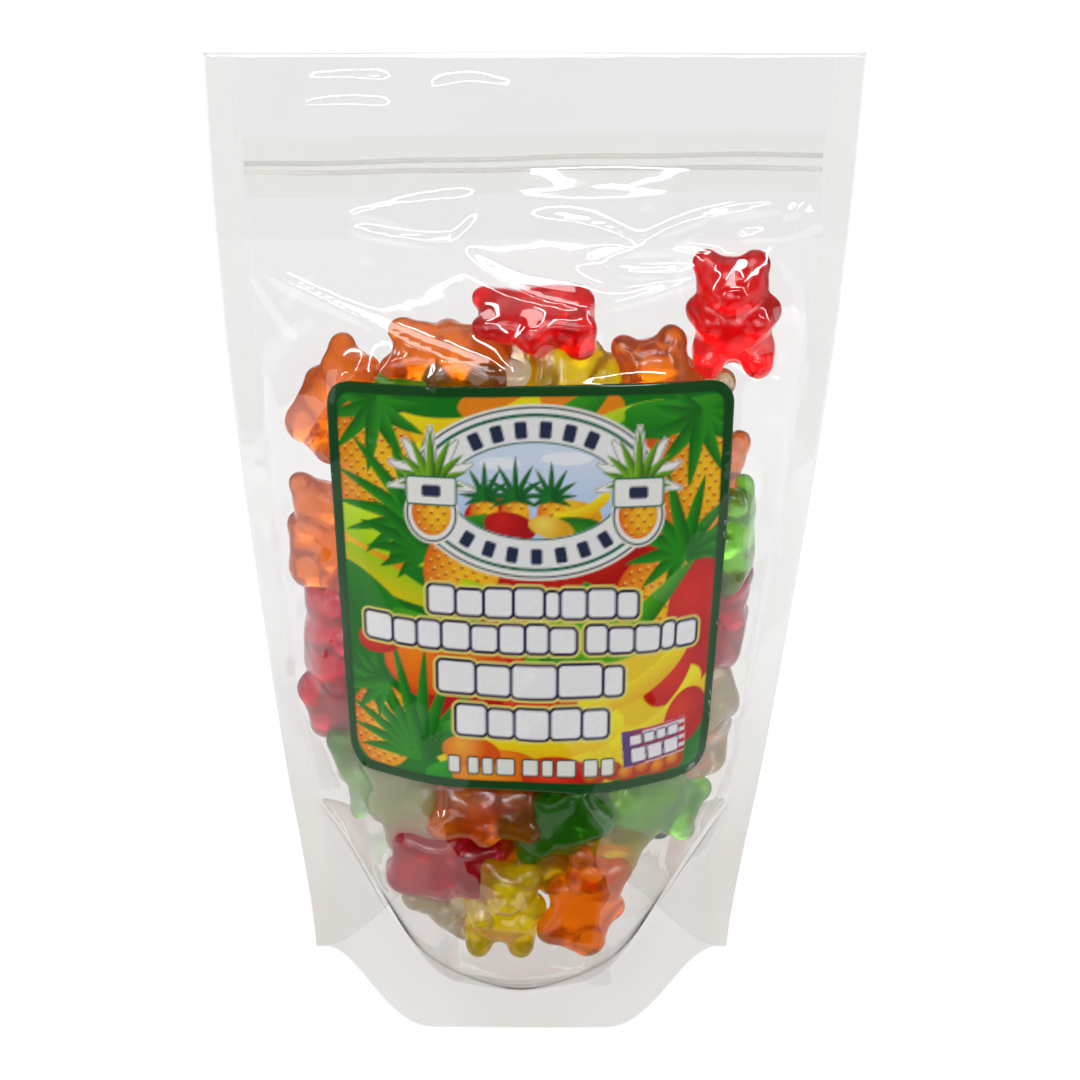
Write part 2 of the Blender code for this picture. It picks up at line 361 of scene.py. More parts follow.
# Bears that lie against the film where they show: flavour, x, z, depth of the middle below the
# film (mm), where the head points and where the face points, and how firmly it keeps its place.
PLACED_BEARS = (
    ("orange", -38.5, 133.5, 5.5, (0.5, 0.0, 1.0), (-0.7, -0.45, 0.35), 0.7),
    ("orange", -15.5, 142, 6.5, (-1.0, -0.1, 0.42), (0.3, -0.5, 1.0), 0.6),
    ("red", 1, 149, 7.2, (-1.0, 0.0, 0.06), (0.1, -0.25, 1.0), 0.8),
    ("yellow", 9.5, 138, 9.0, (1.0, 0.0, -0.15), (0.0, -1.0, 0.35), 0.6),
    ("orange", 25.5, 135.5, 5.8, (-0.2, 0.0, 1.0), (0.25, -1.0, 0.1), 0.9),
    ("clear", 31.5, 128.5, 9.0, (0.2, 0.0, 1.0), (0.0, 1.0, 0.0), 0.6),
    ("red", 39, 150.5, 4.4, (-0.04, 0.0, 1.0), (0.12, 1.0, 0.1), 1.0),
    ("green", -19.5, 133, 6.5, (1.0, 0.0, 0.1), (0.0, -1.0, 0.4), 0.4),
    ("clear", -4.5, 141, 12.0, (0.3, 0.2, 1.0), (0.0, -1.0, 0.0), 0.3),
    ("orange", -42, 104, 5.5, (0.08, 0.0, 1.0), (-0.6, -0.7, 0.0), 0.5),
    ("raspberry", -41.5, 81, 5.5, (0.1, 0.0, 1.0), (-0.8, -0.5, 0.0), 0.5),
    ("raspberry", -38, 63, 5.5, (1.0, 0.0, 0.3), (-0.2, -0.8, -0.4), 0.4),
    ("lime", -33, 52, 6.0, (0.5, 0.0, -1.0), (-0.5, -0.8, 0.0), 0.5),
    ("orange", 36, 116, 6.0, (0.2, 0.0, 1.0), (0.7, -0.6, 0.1), 0.4),
    ("lime", 41.5, 103, 5.0, (0.05, 0.0, 1.0), (1.0, -0.35, 0.0), 0.7),
    ("raspberry", 39.5, 86, 5.0, (0.3, 0.0, 1.0), (0.7, -0.6, 0.0), 0.6),
    ("clear", 38, 71, 5.5, (-0.1, 0.0, 1.0), (0.8, -0.6, 0.0), 0.5),
    ("clear", 37, 57, 5.5, (0.4, 0.0, 1.0), (0.5, -0.9, 0.0), 0.4),
    ("green", 7.5, 46.5, 6.0, (-0.85, 0.0, -0.5), (0.0, -1.0, 0.15), 0.8),
    ("lime", 28.5, 46, 6.2, (0.8, 0.0, -0.5), (0.1, -1.0, 0.1), 0.7),
    ("raspberry", -17.5, 35.5, 6.2, (0.95, 0.0, -0.2), (0.0, -1.0, 0.2), 0.8),
    ("yellow", -4, 25.5, 7.6, (0.12, 0.0, 1.0), (0.1, 1.0, 0.0), 0.8),
    ("orange", 13.5, 27.5, 5.8, (0.36, 0.0, 1.0), (-0.1, -1.0, 0.0), 0.9),
    ("orange", -8, 49, 7.5, (1.0, 0.0, -0.15), (0.0, -0.8, 0.6), 0.6),
    ("clear", -24, 49, 6.4, (-0.45, 0.0, 0.9), (0.0, -1.0, 0.0), 0.6),
    ("yellow", 21, 42, 9.5, (0.6, 0.1, 0.8), (0.0, -1.0, 0.1), 0.5),
    ("yellow", 5, 37, 14.0, (0.3, 0.4, 1.0), (0.0, -1.0, 0.4), 0.6),
    ("orange", -2, 33, 17.0, (1.0, 0.3, 0.2), (0.0, -0.4, 1.0), 0.5),
)


def lump_field(points):
    """How far outside the bear's rounded body a point is, in mm."""
    total = np.zeros(len(points))
    for centre, radii in BEAR_LUMPS:
        offset = (points - centre) / radii
        reach = np.linalg.norm(offset, axis=1) + 1e-9
        slope = np.linalg.norm(offset / radii, axis=1) + 1e-9
        total += np.exp(-BLEND_SHARPNESS * np.clip(reach * (reach - 1) / slope, -12, 12))
    field = -np.log(total) / BLEND_SHARPNESS
    for centre, radius, depth in BEAR_DENTS:
        away = np.linalg.norm(points - centre, axis=1) / radius
        field += depth * np.exp(-away * away)
    back = points[:, 1] - BACK_PLANE
    return np.log(np.exp(2.2 * field) + np.exp(2.2 * back)) / 2.2


def settle_on_field(points):
    """Moves points onto the rounded body's surface."""
    step = 0.02
    for _ in range(8):
        value = lump_field(points)
        slope = np.stack(
            [(lump_field(points + step * axis) - value) / step for axis in np.eye(3)], axis=1
        )
        points = points - slope * (value / (slope * slope).sum(axis=1))[:, None]
    return points


def bear_surface():
    """One bear's points in mm, and its faces."""
    bm = bmesh.new()
    for centre, radii in BEAR_LUMPS:
        place = Matrix.Translation(centre) @ Matrix.Diagonal((*radii, 1))
        bmesh.ops.create_icosphere(bm, subdivisions=3, radius=1, matrix=place)
    mesh = bpy.data.meshes.new("lumps")
    bm.to_mesh(mesh)
    bm.free()
    lumps = new_object("lumps", mesh)
    joined = lumps.modifiers.new("joined", "REMESH")
    joined.mode = "VOXEL"
    joined.voxel_size = BEAR_VOXEL
    eased = lumps.modifiers.new("eased", "SMOOTH")
    eased.iterations = 4
    body = made_plain(lumps, "bear_body")
    points = settle_on_field(read_points(body.data))
    faces = [tuple(face.vertices) for face in body.data.polygons]
    bpy.data.objects.remove(body)
    return points, faces


def wave_noise(points, rng, scale, count=5):
    """Soft lumpy noise between about -1 and 1, made of a few random waves."""
    total = np.zeros(len(points))
    for _ in range(count):
        direction = rng.normal(size=3)
        direction /= np.linalg.norm(direction)
        total += np.sin(points @ direction * (2 * math.pi / scale) * rng.uniform(0.7, 1.3)
                        + rng.uniform(0, 2 * math.pi))
    return total / math.sqrt(count)


def bent_bear(points, rng):
    """A bear a little unlike the others: bent, leaning, fatter or thinner, and lumpy."""
    middle = np.array(BEAR_MIDDLE)
    made = points - middle
    share = made[:, 2] / (BEAR_TALL / 2)
    made[:, 0] += rng.normal(0, 0.55) * share**2 + rng.normal(0, 0.35) * share
    made[:, 1] += rng.normal(0.1, 0.6) * share**2
    twist = rng.normal(0, 0.07) * share
    x, y = made[:, 0].copy(), made[:, 1].copy()
    made[:, 0], made[:, 1] = x * np.cos(twist) - y * np.sin(twist), x * np.sin(twist) + y * np.cos(twist)
    made *= 1 + rng.normal(0, 0.025, size=3)
    lumpy = wave_noise(points, rng, 9.0) * 0.16
    outward = made / (np.linalg.norm(made, axis=1)[:, None] + 1e-9)
    return made + outward * lumpy[:, None]


def facing(head, face):
    """The rotation that turns a standing bear so that its head and its face point that way."""
    up = Vector(head).normalized()
    front = Vector(face)
    front = (front - up * front.dot(up)).normalized()
    side = front.cross(up)
    return np.array(Matrix((side, -front, up)).transposed())


def random_turn(rng):
    q = rng.normal(size=4)
    q /= np.linalg.norm(q)
    w, x, y, z = q
    return np.array([
        [1 - 2 * (y * y + z * z), 2 * (x * y - z * w), 2 * (x * z + y * w)],
        [2 * (x * y + z * w), 1 - 2 * (x * x + z * z), 2 * (y * z - x * w)],
        [2 * (x * z - y * w), 2 * (y * z + x * w), 1 - 2 * (x * x + y * y)],
    ])


def wall_tables():
    x = np.arange(0, 61.0)
    z = np.arange(0, 201.0)
    width = inner_half_width(z * MM) / MM
    depth = film_depth(x[None, :] / width[:, None], z[:, None] * MM) / MM
    slope_z, slope_x = np.gradient(depth)
    return depth, slope_x, slope_z, width


def look_up(table, x, z):
    """Bilinear values of a table with a step of 1 mm."""
    x, z = np.clip(np.abs(x), 0, 59.999), np.clip(z, 0, 199.999)
    i, j = z.astype(int), x.astype(int)
    fz, fx = z - i, x - j
    low = table[i, j] * (1 - fx) + table[i, j + 1] * fx
    high = table[i + 1, j] * (1 - fx) + table[i + 1, j + 1] * fx
    return low * (1 - fz) + high * fz


def fill_pouch(settings):
    """Lets the bears settle in the pouch. Returns flavour, place in mm, rotation and size of each."""
    rng = np.random.default_rng(settings.seed)
    depth, slope_x, slope_z, width = wall_tables()
    size = settings.height / (BEAR_TALL * MM)
    names = [entry[0] for entry in FLAVOURS]
    flavour, place, turn, firm = [], [], [], []
    for name, x, z, inset, head, face, hold in PLACED_BEARS:
        y = -max(float(look_up(depth, np.array([x]), np.array([z]))[0]) - inset, -1.5)
        flavour.append(names.index(name))
        place.append((x, y, z))
        turn.append(facing(head, face))
        firm.append(hold)
    while len(place) < settings.count:
        x, z = rng.uniform(-44, 44), 26 + 104 * rng.uniform() ** 1.15
        room = float(look_up(depth, np.array([x]), np.array([z]))[0]) - 6.5
        if room < 0.5 or abs(x) > np.interp(z, np.arange(201.0), width) - 8 or z < 16 + 0.03 * x * x:
            continue
        place.append((x, rng.uniform(-0.55, 1.0) * room, z))
        flavour.append(int(rng.choice(len(names), p=FLAVOUR_SHARES / FLAVOUR_SHARES.sum())))
        turn.append(random_turn(rng))
        firm.append(0.0)
    place, turn, firm = np.array(place, float), np.array(turn), np.array(firm)
    sizes = size * rng.uniform(0.965, 1.035, len(place))

    balls = np.array([c for c, _ in BEAR_BALLS]) - np.array(BEAR_MIDDLE)
    radii = (np.array([r for _, r in BEAR_BALLS])[None, :] * sizes[:, None]).ravel()
    weights = np.array([r for _, r in BEAR_BALLS]) ** 2
    weights = weights / weights.sum()
    local = balls[None] * sizes[:, None, None]
    owner = np.repeat(np.arange(len(place)), len(balls))
    goal = np.einsum("bij,bkj->bki", turn, local) + place[:, None]
    same = owner[:, None] == owner[None, :]
    reach = radii[:, None] + radii[None, :]
    steps = 340
    for step in range(steps):
        share = step / steps
        at = (np.einsum("bij,bkj->bki", turn, local) + place[:, None]).reshape(-1, 3)
        # neighbours push each other apart
        square = (at * at).sum(axis=1)
        gap2 = square[:, None] + square[None, :] - 2 * at @ at.T
        first, second = np.nonzero((gap2 < reach * reach) & ~same)
        away = at[first] - at[second]
        gap = np.linalg.norm(away, axis=1) + 1e-6
        push = away * ((reach[first, second] - gap) / gap * 0.5)[:, None]
        moved = np.zeros_like(at)
        touches = np.zeros(len(at))
        np.add.at(moved, first, push)
        np.add.at(touches, first, 1)
        moved /= np.maximum(touches, 1)[:, None] ** 0.5
        at = at + moved
        at[:, 2] -= 0.22 * (1 - smooth(share * 1.25))
        # the film holds them in
        outward = np.stack([
            -look_up(slope_x, at[:, 0], at[:, 2]) * np.sign(at[:, 0]),
            np.where(at[:, 1] < 0, -1.0, 1.0),
            -look_up(slope_z, at[:, 0], at[:, 2]),
        ], axis=1)
        steep = np.linalg.norm(outward, axis=1)
        inside = (look_up(depth, at[:, 0], at[:, 2]) - np.abs(at[:, 1])) / steep
        over = np.clip(radii + 0.35 - inside, 0, 3) * (np.repeat(firm, len(balls)) < 0.95)
        at -= outward * (over / steep)[:, None]
        # the gusset carries them
        half = np.interp(at[:, 2], np.arange(201.0), width)
        u = np.clip(at[:, 0] / half, -1, 1)
        v = np.clip(at[:, 1] / (look_up(depth, at[:, 0], at[:, 2]) + 1e-6), -1, 1)
        floor = gusset_height(u, v) / MM + radii + GUSSET_CLEARANCE / MM
        floor = np.maximum(floor, 8 + 0.032 * at[:, 0] ** 2 + 0.8 * radii)
        at[:, 2] = np.where(at[:, 2] < floor, at[:, 2] + np.minimum(floor - at[:, 2], 2), at[:, 2])
        # each bear keeps its shape, and the placed ones their places
        at = at.reshape(len(place), -1, 3)
        hold = (firm * 0.35)[:, None, None] * np.where(firm > 0.95, 1 / 0.35, 1)[:, None, None]
        at = at + (goal - at) * hold
        place = (at * weights[None, :, None]).sum(axis=1)
        arm = local - (local * weights[None, :, None]).sum(axis=1, keepdims=True)
        spread = np.einsum("bki,bkj,k->bij", at - place[:, None], arm, weights)
        left, _, right = np.linalg.svd(spread)
        flip = np.sign(np.linalg.det(left @ right))
        left[:, :, 2] *= flip[:, None]
        turn = left @ right
        offset = (local * weights[None, :, None]).sum(axis=1)
        place = place - np.einsum("bij,bj->bi", turn, offset)
    return flavour, place, turn, sizes


def scatter_tree():
    """Geometry Nodes that put a bear at each point, turned, sized and toned as its attributes say."""
    tree = bpy.data.node_groups.new("Scatter bears", "GeometryNodeTree")
    face = tree.interface
    face.new_socket("Geometry", in_out="OUTPUT", socket_type="NodeSocketGeometry")
    face.new_socket("Places", in_out="INPUT", socket_type="NodeSocketGeometry")
    face.new_socket("Bear shapes", in_out="INPUT", socket_type="NodeSocketCollection")
    face.new_socket("Size", in_out="INPUT", socket_type="NodeSocketFloat").default_value = 1.0
    face.new_socket("Gummy", in_out="INPUT", socket_type="NodeSocketMaterial")
    given = tree.nodes.new("NodeGroupInput")
    shapes = add_node(tree, "GeometryNodeCollectionInfo", {
        "Collection": given.outputs["Bear shapes"],
        "Separate Children": True,
        "Reset Children": True,
    })
    named = {
        name: add_node(tree, "GeometryNodeInputNamedAttribute", {"Name": name}, data_type=kind)
        for name, kind in (("turn", "FLOAT_VECTOR"), ("size", "FLOAT"), ("shape", "INT"))
    }
    turned = add_node(tree, "FunctionNodeEulerToRotation", {0: named["turn"].outputs[0]})
    sized = add_node(tree, "ShaderNodeMath", {
        0: named["size"].outputs[0],
        1: given.outputs["Size"],
    }, operation="MULTIPLY")
    placed = add_node(tree, "GeometryNodeInstanceOnPoints", {
        "Points": given.outputs["Places"],
        "Instance": shapes.outputs[0],
        "Pick Instance": True,
        "Instance Index": named["shape"].outputs[0],
        "Rotation": turned.outputs[0],
        "Scale": sized.outputs[0],
    })
    real = add_node(tree, "GeometryNodeRealizeInstances", {"Geometry": placed.outputs[0]})
    coloured = add_node(tree, "GeometryNodeSetMaterial", {
        "Geometry": real.outputs[0],
        "Material": given.outputs["Gummy"],
    })
    out = tree.nodes.new("NodeGroupOutput")
    tree.links.new(coloured.outputs[0], out.inputs[0])
    return tree


def gummy_material(name, colour, depth, clearness):
    """Oiled gelatine gummy: wet-looking gloss over a clear, deep colour that glows where it is thin."""
    material, tree, out = new_material(f"gelatine_gummy_{name}")
    where = add_node(tree, "ShaderNodeTexCoord")
    tone = add_node(tree, "ShaderNodeAttribute", attribute_name="tone")
    # Cloudier and clearer parts of the sweet, a few millimetres across
    cloud = add_node(tree, "ShaderNodeTexNoise", {
        "Vector": where.outputs["Object"], "Scale": 1 / (7 * MM), "Detail": 1.5,
    })
    mixed = add_node(tree, "ShaderNodeMath", {
        0: cloud.outputs["Fac"], 1: 0.30, 2: tone.outputs["Fac"],
    }, operation="MULTIPLY_ADD")
    value = add_node(tree, "ShaderNodeMapRange", {
        "Value": mixed.outputs[0], "From Min": 0.0, "From Max": 1.3, "To Min": 0.82, "To Max": 1.06,
    })
    shade = add_node(tree, "ShaderNodeHueSaturation", {
        "Color": (*colour, 1), "Value": value.outputs["Result"],
    })
    # Soft ripples from the starch mould, and fine pits
    ripple = add_node(tree, "ShaderNodeTexNoise", {
        "Vector": where.outputs["Object"], "Scale": 1 / (2.6 * MM), "Detail": 2.0, "Roughness": 0.45,
    })
    soft = add_node(tree, "ShaderNodeBump", {
        "Height": ripple.outputs["Fac"], "Strength": 0.35, "Distance": 0.35 * MM,
    })
    shader = add_node(tree, "ShaderNodeBsdfPrincipled", {
        "Base Color": shade.outputs["Color"],
        "Roughness": 0.18,
        "IOR": 1.42,
        "Subsurface Weight": 1.0,
        "Subsurface Radius": depth,
        "Subsurface Scale": MM,
        "Transmission Weight": clearness,
        "Coat Weight": 0.3,
        "Coat Roughness": 0.06,
        "Normal": soft.outputs["Normal"],
    }, subsurface_method="RANDOM_WALK")
    tree.links.new(shader.outputs[0], out.inputs["Surface"])
    return material


def build_bears(settings):
    """One piece for each flavour. Returns the bears' surface points, for the film to rest on."""
    rng = np.random.default_rng(settings.seed + 1)
    points, faces = bear_surface()
    shapes = bpy.data.collections.new("bear_shapes")
    bpy.context.scene.collection.children.link(shapes)
    for index in range(BEAR_SHAPES):
        mesh = mesh_from(f"shape_{index}", bent_bear(points, rng) * MM, faces)
        shapes.objects.link(bpy.data.objects.new(f"shape_{index}", mesh))
    flavour, place, turn, sizes = fill_pouch(settings)
    tree = scatter_tree()
    sockets = {s.name: s.identifier for s in tree.interface.items_tree if s.in_out == "INPUT"}
    surface = []
    for index, (name, code, depth, clearness) in enumerate(FLAVOURS):
        mine = [i for i, kind in enumerate(flavour) if kind == index]
        mesh = bpy.data.meshes.new("places")
        mesh.from_pydata((place[mine] * MM).tolist(), [], [])
        angles = [Matrix(turn[i].tolist()).to_euler() for i in mine]
        vector = mesh.attributes.new("turn", "FLOAT_VECTOR", "POINT")
        vector.data.foreach_set("vector", np.array(angles, np.float32).ravel())
        point_attribute(mesh, "size", sizes[mine])
        point_attribute(mesh, "tone", rng.uniform(0, 1, len(mine)))
        number = mesh.attributes.new("shape", "INT", "POINT")
        number.data.foreach_set("value", rng.integers(0, BEAR_SHAPES, len(mine)).astype(np.int32))
        places = new_object("places", mesh)
        scatter = places.modifiers.new("scatter", "NODES")
        scatter.node_group = tree
        scatter[sockets["Bear shapes"]] = shapes
        scatter[sockets["Size"]] = 1.0
        scatter[sockets["Gummy"]] = gummy_material(name, linear(code), depth, clearness)
        piece = made_plain(places, f"gummy_bears_{name}")
        piece.data.shade_smooth()
        surface.append(read_points(piece.data))
        fit_piece(piece)
    for obj in list(shapes.objects):
        bpy.data.objects.remove(obj)
    bpy.data.collections.remove(shapes)
    return np.concatenate(surface)


# Film

# Folds pulled into the film above the sweets: points (x, z) in mm, width and height in mm.
# A minus height is a valley.
FRONT_CREASES = (
    (((-37, 169.5), (-30, 167.5), (-22, 166.2), (-14.5, 166.2), (-9, 172)), 1.1, 0.50),
    (((-37, 169.5), (-28, 172), (-18, 173.4), (-10, 174.5)), 0.9, 0.30),
    (((-14.5, 166), (-8, 160.5), (0, 157), (9.5, 155.2), (17.5, 155), (28, 158), (40, 162)), 1.2, 0.60),
    (((-3, 170.5), (7, 169.8), (14, 168.2), (20, 166), (26, 168.5), (35, 171), (51, 172)), 1.1, 0.45),
    (((-55, 161), (-49.5, 154), (-44.5, 146.5)), 1.0, 0.50),
    (((-55, 161), (-45, 157), (-33.5, 152), (-20.5, 146.5), (-9.5, 143.2), (2.5, 140.5)), 1.2, 0.65),
    (((-40.5, 139.8), (-33.5, 141.5), (-27.5, 140.8), (-19.5, 139), (-11.5, 138.6)), 0.9, 0.35),
    (((35, 164.5), (41, 166.8), (47, 170), (52, 174)), 0.9, 0.30),
    (((-42.5, 195.2), (-34.5, 195.6), (-25.5, 195)), 0.9, 0.35),
    (((-43.5, 190.2), (-34.5, 190.8), (-25.5, 190.4)), 0.9, 0.35),
    (((-19.5, 193.6), (-11.5, 195.0), (-2.5, 193.4)), 1.0, 0.30),
    (((48.5, 190), (50.5, 191), (54.5, 190.5)), 0.6, 0.2),
)
FRONT_RINGS = (
    ((22.5, 162.3), (9.5, 2.2), 0.8, 0.50),
    ((44.0, 169.3), (8.5, 2.6), 0.8, 0.45),
)
BACK_CREASES = (
    (((-50, 163), (-36, 168), (-20, 165), (-4, 168), (14, 166)), 1.2, 0.50),
    (((50, 160), (38, 152), (24, 148), (8, 150), (-8, 156)), 1.3, 0.60),
    (((-48, 150), (-40, 158), (-30, 160)), 1.0, 0.45),
    (((20, 171), (32, 168), (48, 171)), 1.0, 0.40),
    (((-52, 100), (-47, 112), (-46, 126)), 1.2, 0.40),
    (((52, 96), (48, 108), (47, 122)), 1.2, 0.40),
)


def along_curve(points, count=48):
    """Evenly many points on a smooth curve through points."""
    points = np.array(points, float)
    padded = np.vstack([2 * points[0] - points[1], points, 2 * points[-1] - points[-2]])
    made = []
    for t in np.linspace(0, len(points) - 1 - 1e-9, count):
        i = int(t)
        f = t - i
        a, b, c, d = padded[i : i + 4]
        made.append(0.5 * (2 * b + (c - a) * f + (2 * a - 5 * b + 4 * c - d) * f**2
                           + (3 * b - a - 3 * c + d) * f**3))
    return np.array(made)


def crease(x, z, points, width, height):
    """A rounded ridge along a curve, fading out at both its ends."""
    line = along_curve(points)
    nearest, fade = np.full(x.shape, 1e9), np.zeros(x.shape)
    for index, (a, b) in enumerate(zip(line, line[1:])):
        run = b - a
        t = np.clip(((x - a[0]) * run[0] + (z - a[1]) * run[1]) / (run @ run), 0, 1)
        gap = np.hypot(x - a[0] - t * run[0], z - a[1] - t * run[1])
        part = (index + t) / (len(line) - 1)
        closer = gap < nearest
        nearest = np.where(closer, gap, nearest)
        fade = np.where(closer, smooth(part * 6) * smooth((1 - part) * 6), fade)
    return height * fade / (1 + (nearest / width) ** 2) ** 1.5


def ring(x, z, centre, radii, width, height):
    """A shallow oval pucker."""
    offset = np.hypot((x - centre[0]) / radii[0], (z - centre[1]) / radii[1])
    gap = (offset - 1) * radii[1]
    return height * np.exp(-((gap / width) ** 2))


def obstacle_depth(surface, side, z, x):
    """How far the sweets reach towards the film on that side, on the film's grid."""
    keep = surface[:, 1] * side > -2 * MM
    px, pz, reach = surface[keep, 0], surface[keep, 2], surface[keep, 1] * side
    row = np.clip(np.round(pz / POUCH_HEIGHT * (len(z) - 1)).astype(int), 0, len(z) - 1)
    found = np.full(x.shape, -1.0)
    column = np.empty(len(px), int)
    for r in np.unique(row):
        mine = row == r
        column[mine] = np.clip(np.searchsorted(x[r], px[mine]), 0, x.shape[1] - 1)
    np.maximum.at(found, (row, column), reach)
    for _ in range(2):
        grown = found.copy()
        for axis, shift in ((0, 1), (0, -1), (1, 1), (1, -1)):
            grown = np.maximum(grown, np.roll(found, shift, axis))
        found = grown
    return found


def blur(values, count):
    for _ in range(count):
        values = values.copy()
        values[1:-1] = (values[:-2] + 2 * values[1:-1] + values[2:]) / 4
        values[:, 1:-1] = (values[:, :-2] + 2 * values[:, 1:-1] + values[:, 2:]) / 4
    return values


def label_share(s, z):
    """1 where the label stiffens the film, fading to 0 round it."""
    half = (LABEL_HIGH.x - LABEL_LOW.x) / 2
    across = smooth((half + 1 * MM - np.abs(s)) / (3 * MM))
    up = smooth((z - LABEL_BOTTOM + 1 * MM) / (3 * MM)) * smooth((LABEL_TOP + 1 * MM - z) / (3 * MM))
    return up[:, None] * across[None, :]


def drape(rest, obstacle, slack, steps):
    """The film's move outwards: it is pulled in by slack, and rests on what is inside."""
    move = np.zeros_like(rest)
    stiff = 0.004
    for _ in range(steps):
        mean = (np.roll(move, 1, 0) + np.roll(move, -1, 0) + np.roll(move, 1, 1) + np.roll(move, -1, 1)) / 4
        move = mean + stiff * (-slack - mean)
        move = np.maximum(move, obstacle - rest)
        move[0] = move[-1] = 0
        move[:, 0] = move[:, -1] = 0
    return move


def film_sheet(settings, surface, side):
    """The shape of one panel: its grid of points, its seal share, and its painted shade, which darkens it
    towards the foot and the sides.
    """
    s = np.linspace(-POUCH_WIDTH / 2, POUCH_WIDTH / 2, FILM_COLUMNS + 1)
    z = np.linspace(0, POUCH_HEIGHT, FILM_ROWS + 1)
    x, depth = film_rest(s, z)
    inner = POUCH_WIDTH / 2 - SIDE_SEAL_WIDTH
    half_width = inner_half_width(z)
    u = np.clip(np.abs(x) / half_width[:, None], 0, 1)
    open_share = smooth((inner - np.abs(s)) / (6 * MM))[None, :] * np.ones(x.shape)
    open_share = open_share * smooth((z[:, None] - gusset_seal_height(u)) / (5 * MM))
    open_share = open_share * smooth((ZIP_HEIGHT - 7 * MM - z[:, None]) / (6 * MM))
    reach = obstacle_depth(surface, side, z, x)
    gap = settings.film_thickness + 0.2 * MM
    slack = settings.film_sag * open_share
    if side < 0:
        stiff = label_share(s, z)
        slack = slack * (1 - 0.9 * stiff)
    steps = 500
    move = drape(depth, reach + gap, slack, steps)
    move = blur(move, 2)
    if side < 0:
        under = blur(move, 60)
        for _ in range(10):
            under = blur(np.maximum(under, reach + gap - depth), 3)
        move = np.maximum(move * (1 - stiff) + under * stiff, reach + gap - depth)
    # Folds
    xm, zm = x / MM, np.repeat(z[:, None], len(s), axis=1) / MM
    rng = np.random.default_rng(3 if side < 0 else 4)
    folds = np.zeros_like(x)
    for points, width, height in FRONT_CREASES if side < 0 else BACK_CREASES:
        folds += crease(xm, zm, points, width, height)
    if side < 0:
        for centre, radii, width, height in FRONT_RINGS:
            folds += ring(xm, zm, centre, radii, width, height)
    ripple = wave_noise(np.stack([xm.ravel(), zm.ravel() * 0.8, 0 * xm.ravel()], 1), rng, 34)
    folds += ripple.reshape(x.shape) * 0.22 * smooth((inner - np.abs(s))[None, :] / (8 * MM))
    free = 1 - (stiff if side < 0 else 0)
    open_width = smooth((inner - np.abs(s)) / (3 * MM))[None, :]
    move = move + folds * settings.crease_height * free * MM
    # The film dips along both edges of the zip's flanges
    for height, deep in ((ZIP_HEIGHT - 6 * MM, 0.08), (ZIP_HEIGHT + 5.8 * MM, 0.05)):
        move = move + deep * MM * np.exp(-(((z[:, None] - height) / (0.7 * MM)) ** 2)) * open_width
    # The seals: a bead where the gusset joins, and a fine line inside each side seal
    seal_line = gusset_seal_height(u)
    away = (z[:, None] - seal_line) / np.sqrt(1 + 0.8 * u**2)
    in_panel = np.abs(s)[None, :] < inner
    move = move + 1.1 * MM / (1 + (away / (1.0 * MM)) ** 2) ** 1.5 * in_panel
    move = move + 0.12 * MM * np.exp(-(((np.abs(s)[None, :] - inner) / (0.5 * MM)) ** 2))
    fold = np.exp(-(((z[:, None] - GUSSET_FOLD_HEIGHT) / (0.6 * MM)) ** 2))
    move = move + 0.25 * MM * fold * smooth((np.abs(s)[None, :] - inner + 3 * MM) / (3 * MM))
    seal = np.maximum(
        smooth((np.abs(s)[None, :] - inner) / (0.6 * MM)) * np.ones(x.shape),
        smooth((seal_line - z[:, None]) / (1.0 * MM)),
    )
    lowest = SEAL_HALF_THICKNESS
    y = np.maximum(depth + move, lowest)
    points = np.stack([x, side * y, np.repeat(z[:, None], len(s), axis=1)], axis=-1)
    # Painted highlight: a narrow line along the gusset weld is made much milkier than the seal. This is
    # partly the weld's own milkiness, and mostly it stands in for the weld's reflection.
    weld_highlight = np.exp(-((away / (0.7 * MM)) ** 2)) * in_panel * smooth((0.9 - u) / 0.3)
    uneven = smooth(wave_noise(points.reshape(-1, 3) / MM, rng, 19).reshape(x.shape))
    seal = seal + 3.0 * weld_highlight * (0.4 + 0.6 * uneven)
    # Painted shade: the film is tinted darker, in soft blotches, towards the foot, at the sides and below the
    # gusset weld, where shade falls.
    low = smooth((GUSSET_FOLD_HEIGHT * 2.2 - z[:, None]) / (GUSSET_FOLD_HEIGHT * 1.8))
    blotch = 0.8 + 0.25 * wave_noise(points.reshape(-1, 3) / MM, rng, 45).reshape(x.shape)
    at_sides = smooth((u - 0.45) / 0.45)
    below_weld = smooth((seal_line + 4 * MM - z[:, None]) / (8 * MM))
    foot_shade = blotch * low * np.maximum(at_sides, below_weld)
    return points, seal, foot_shade


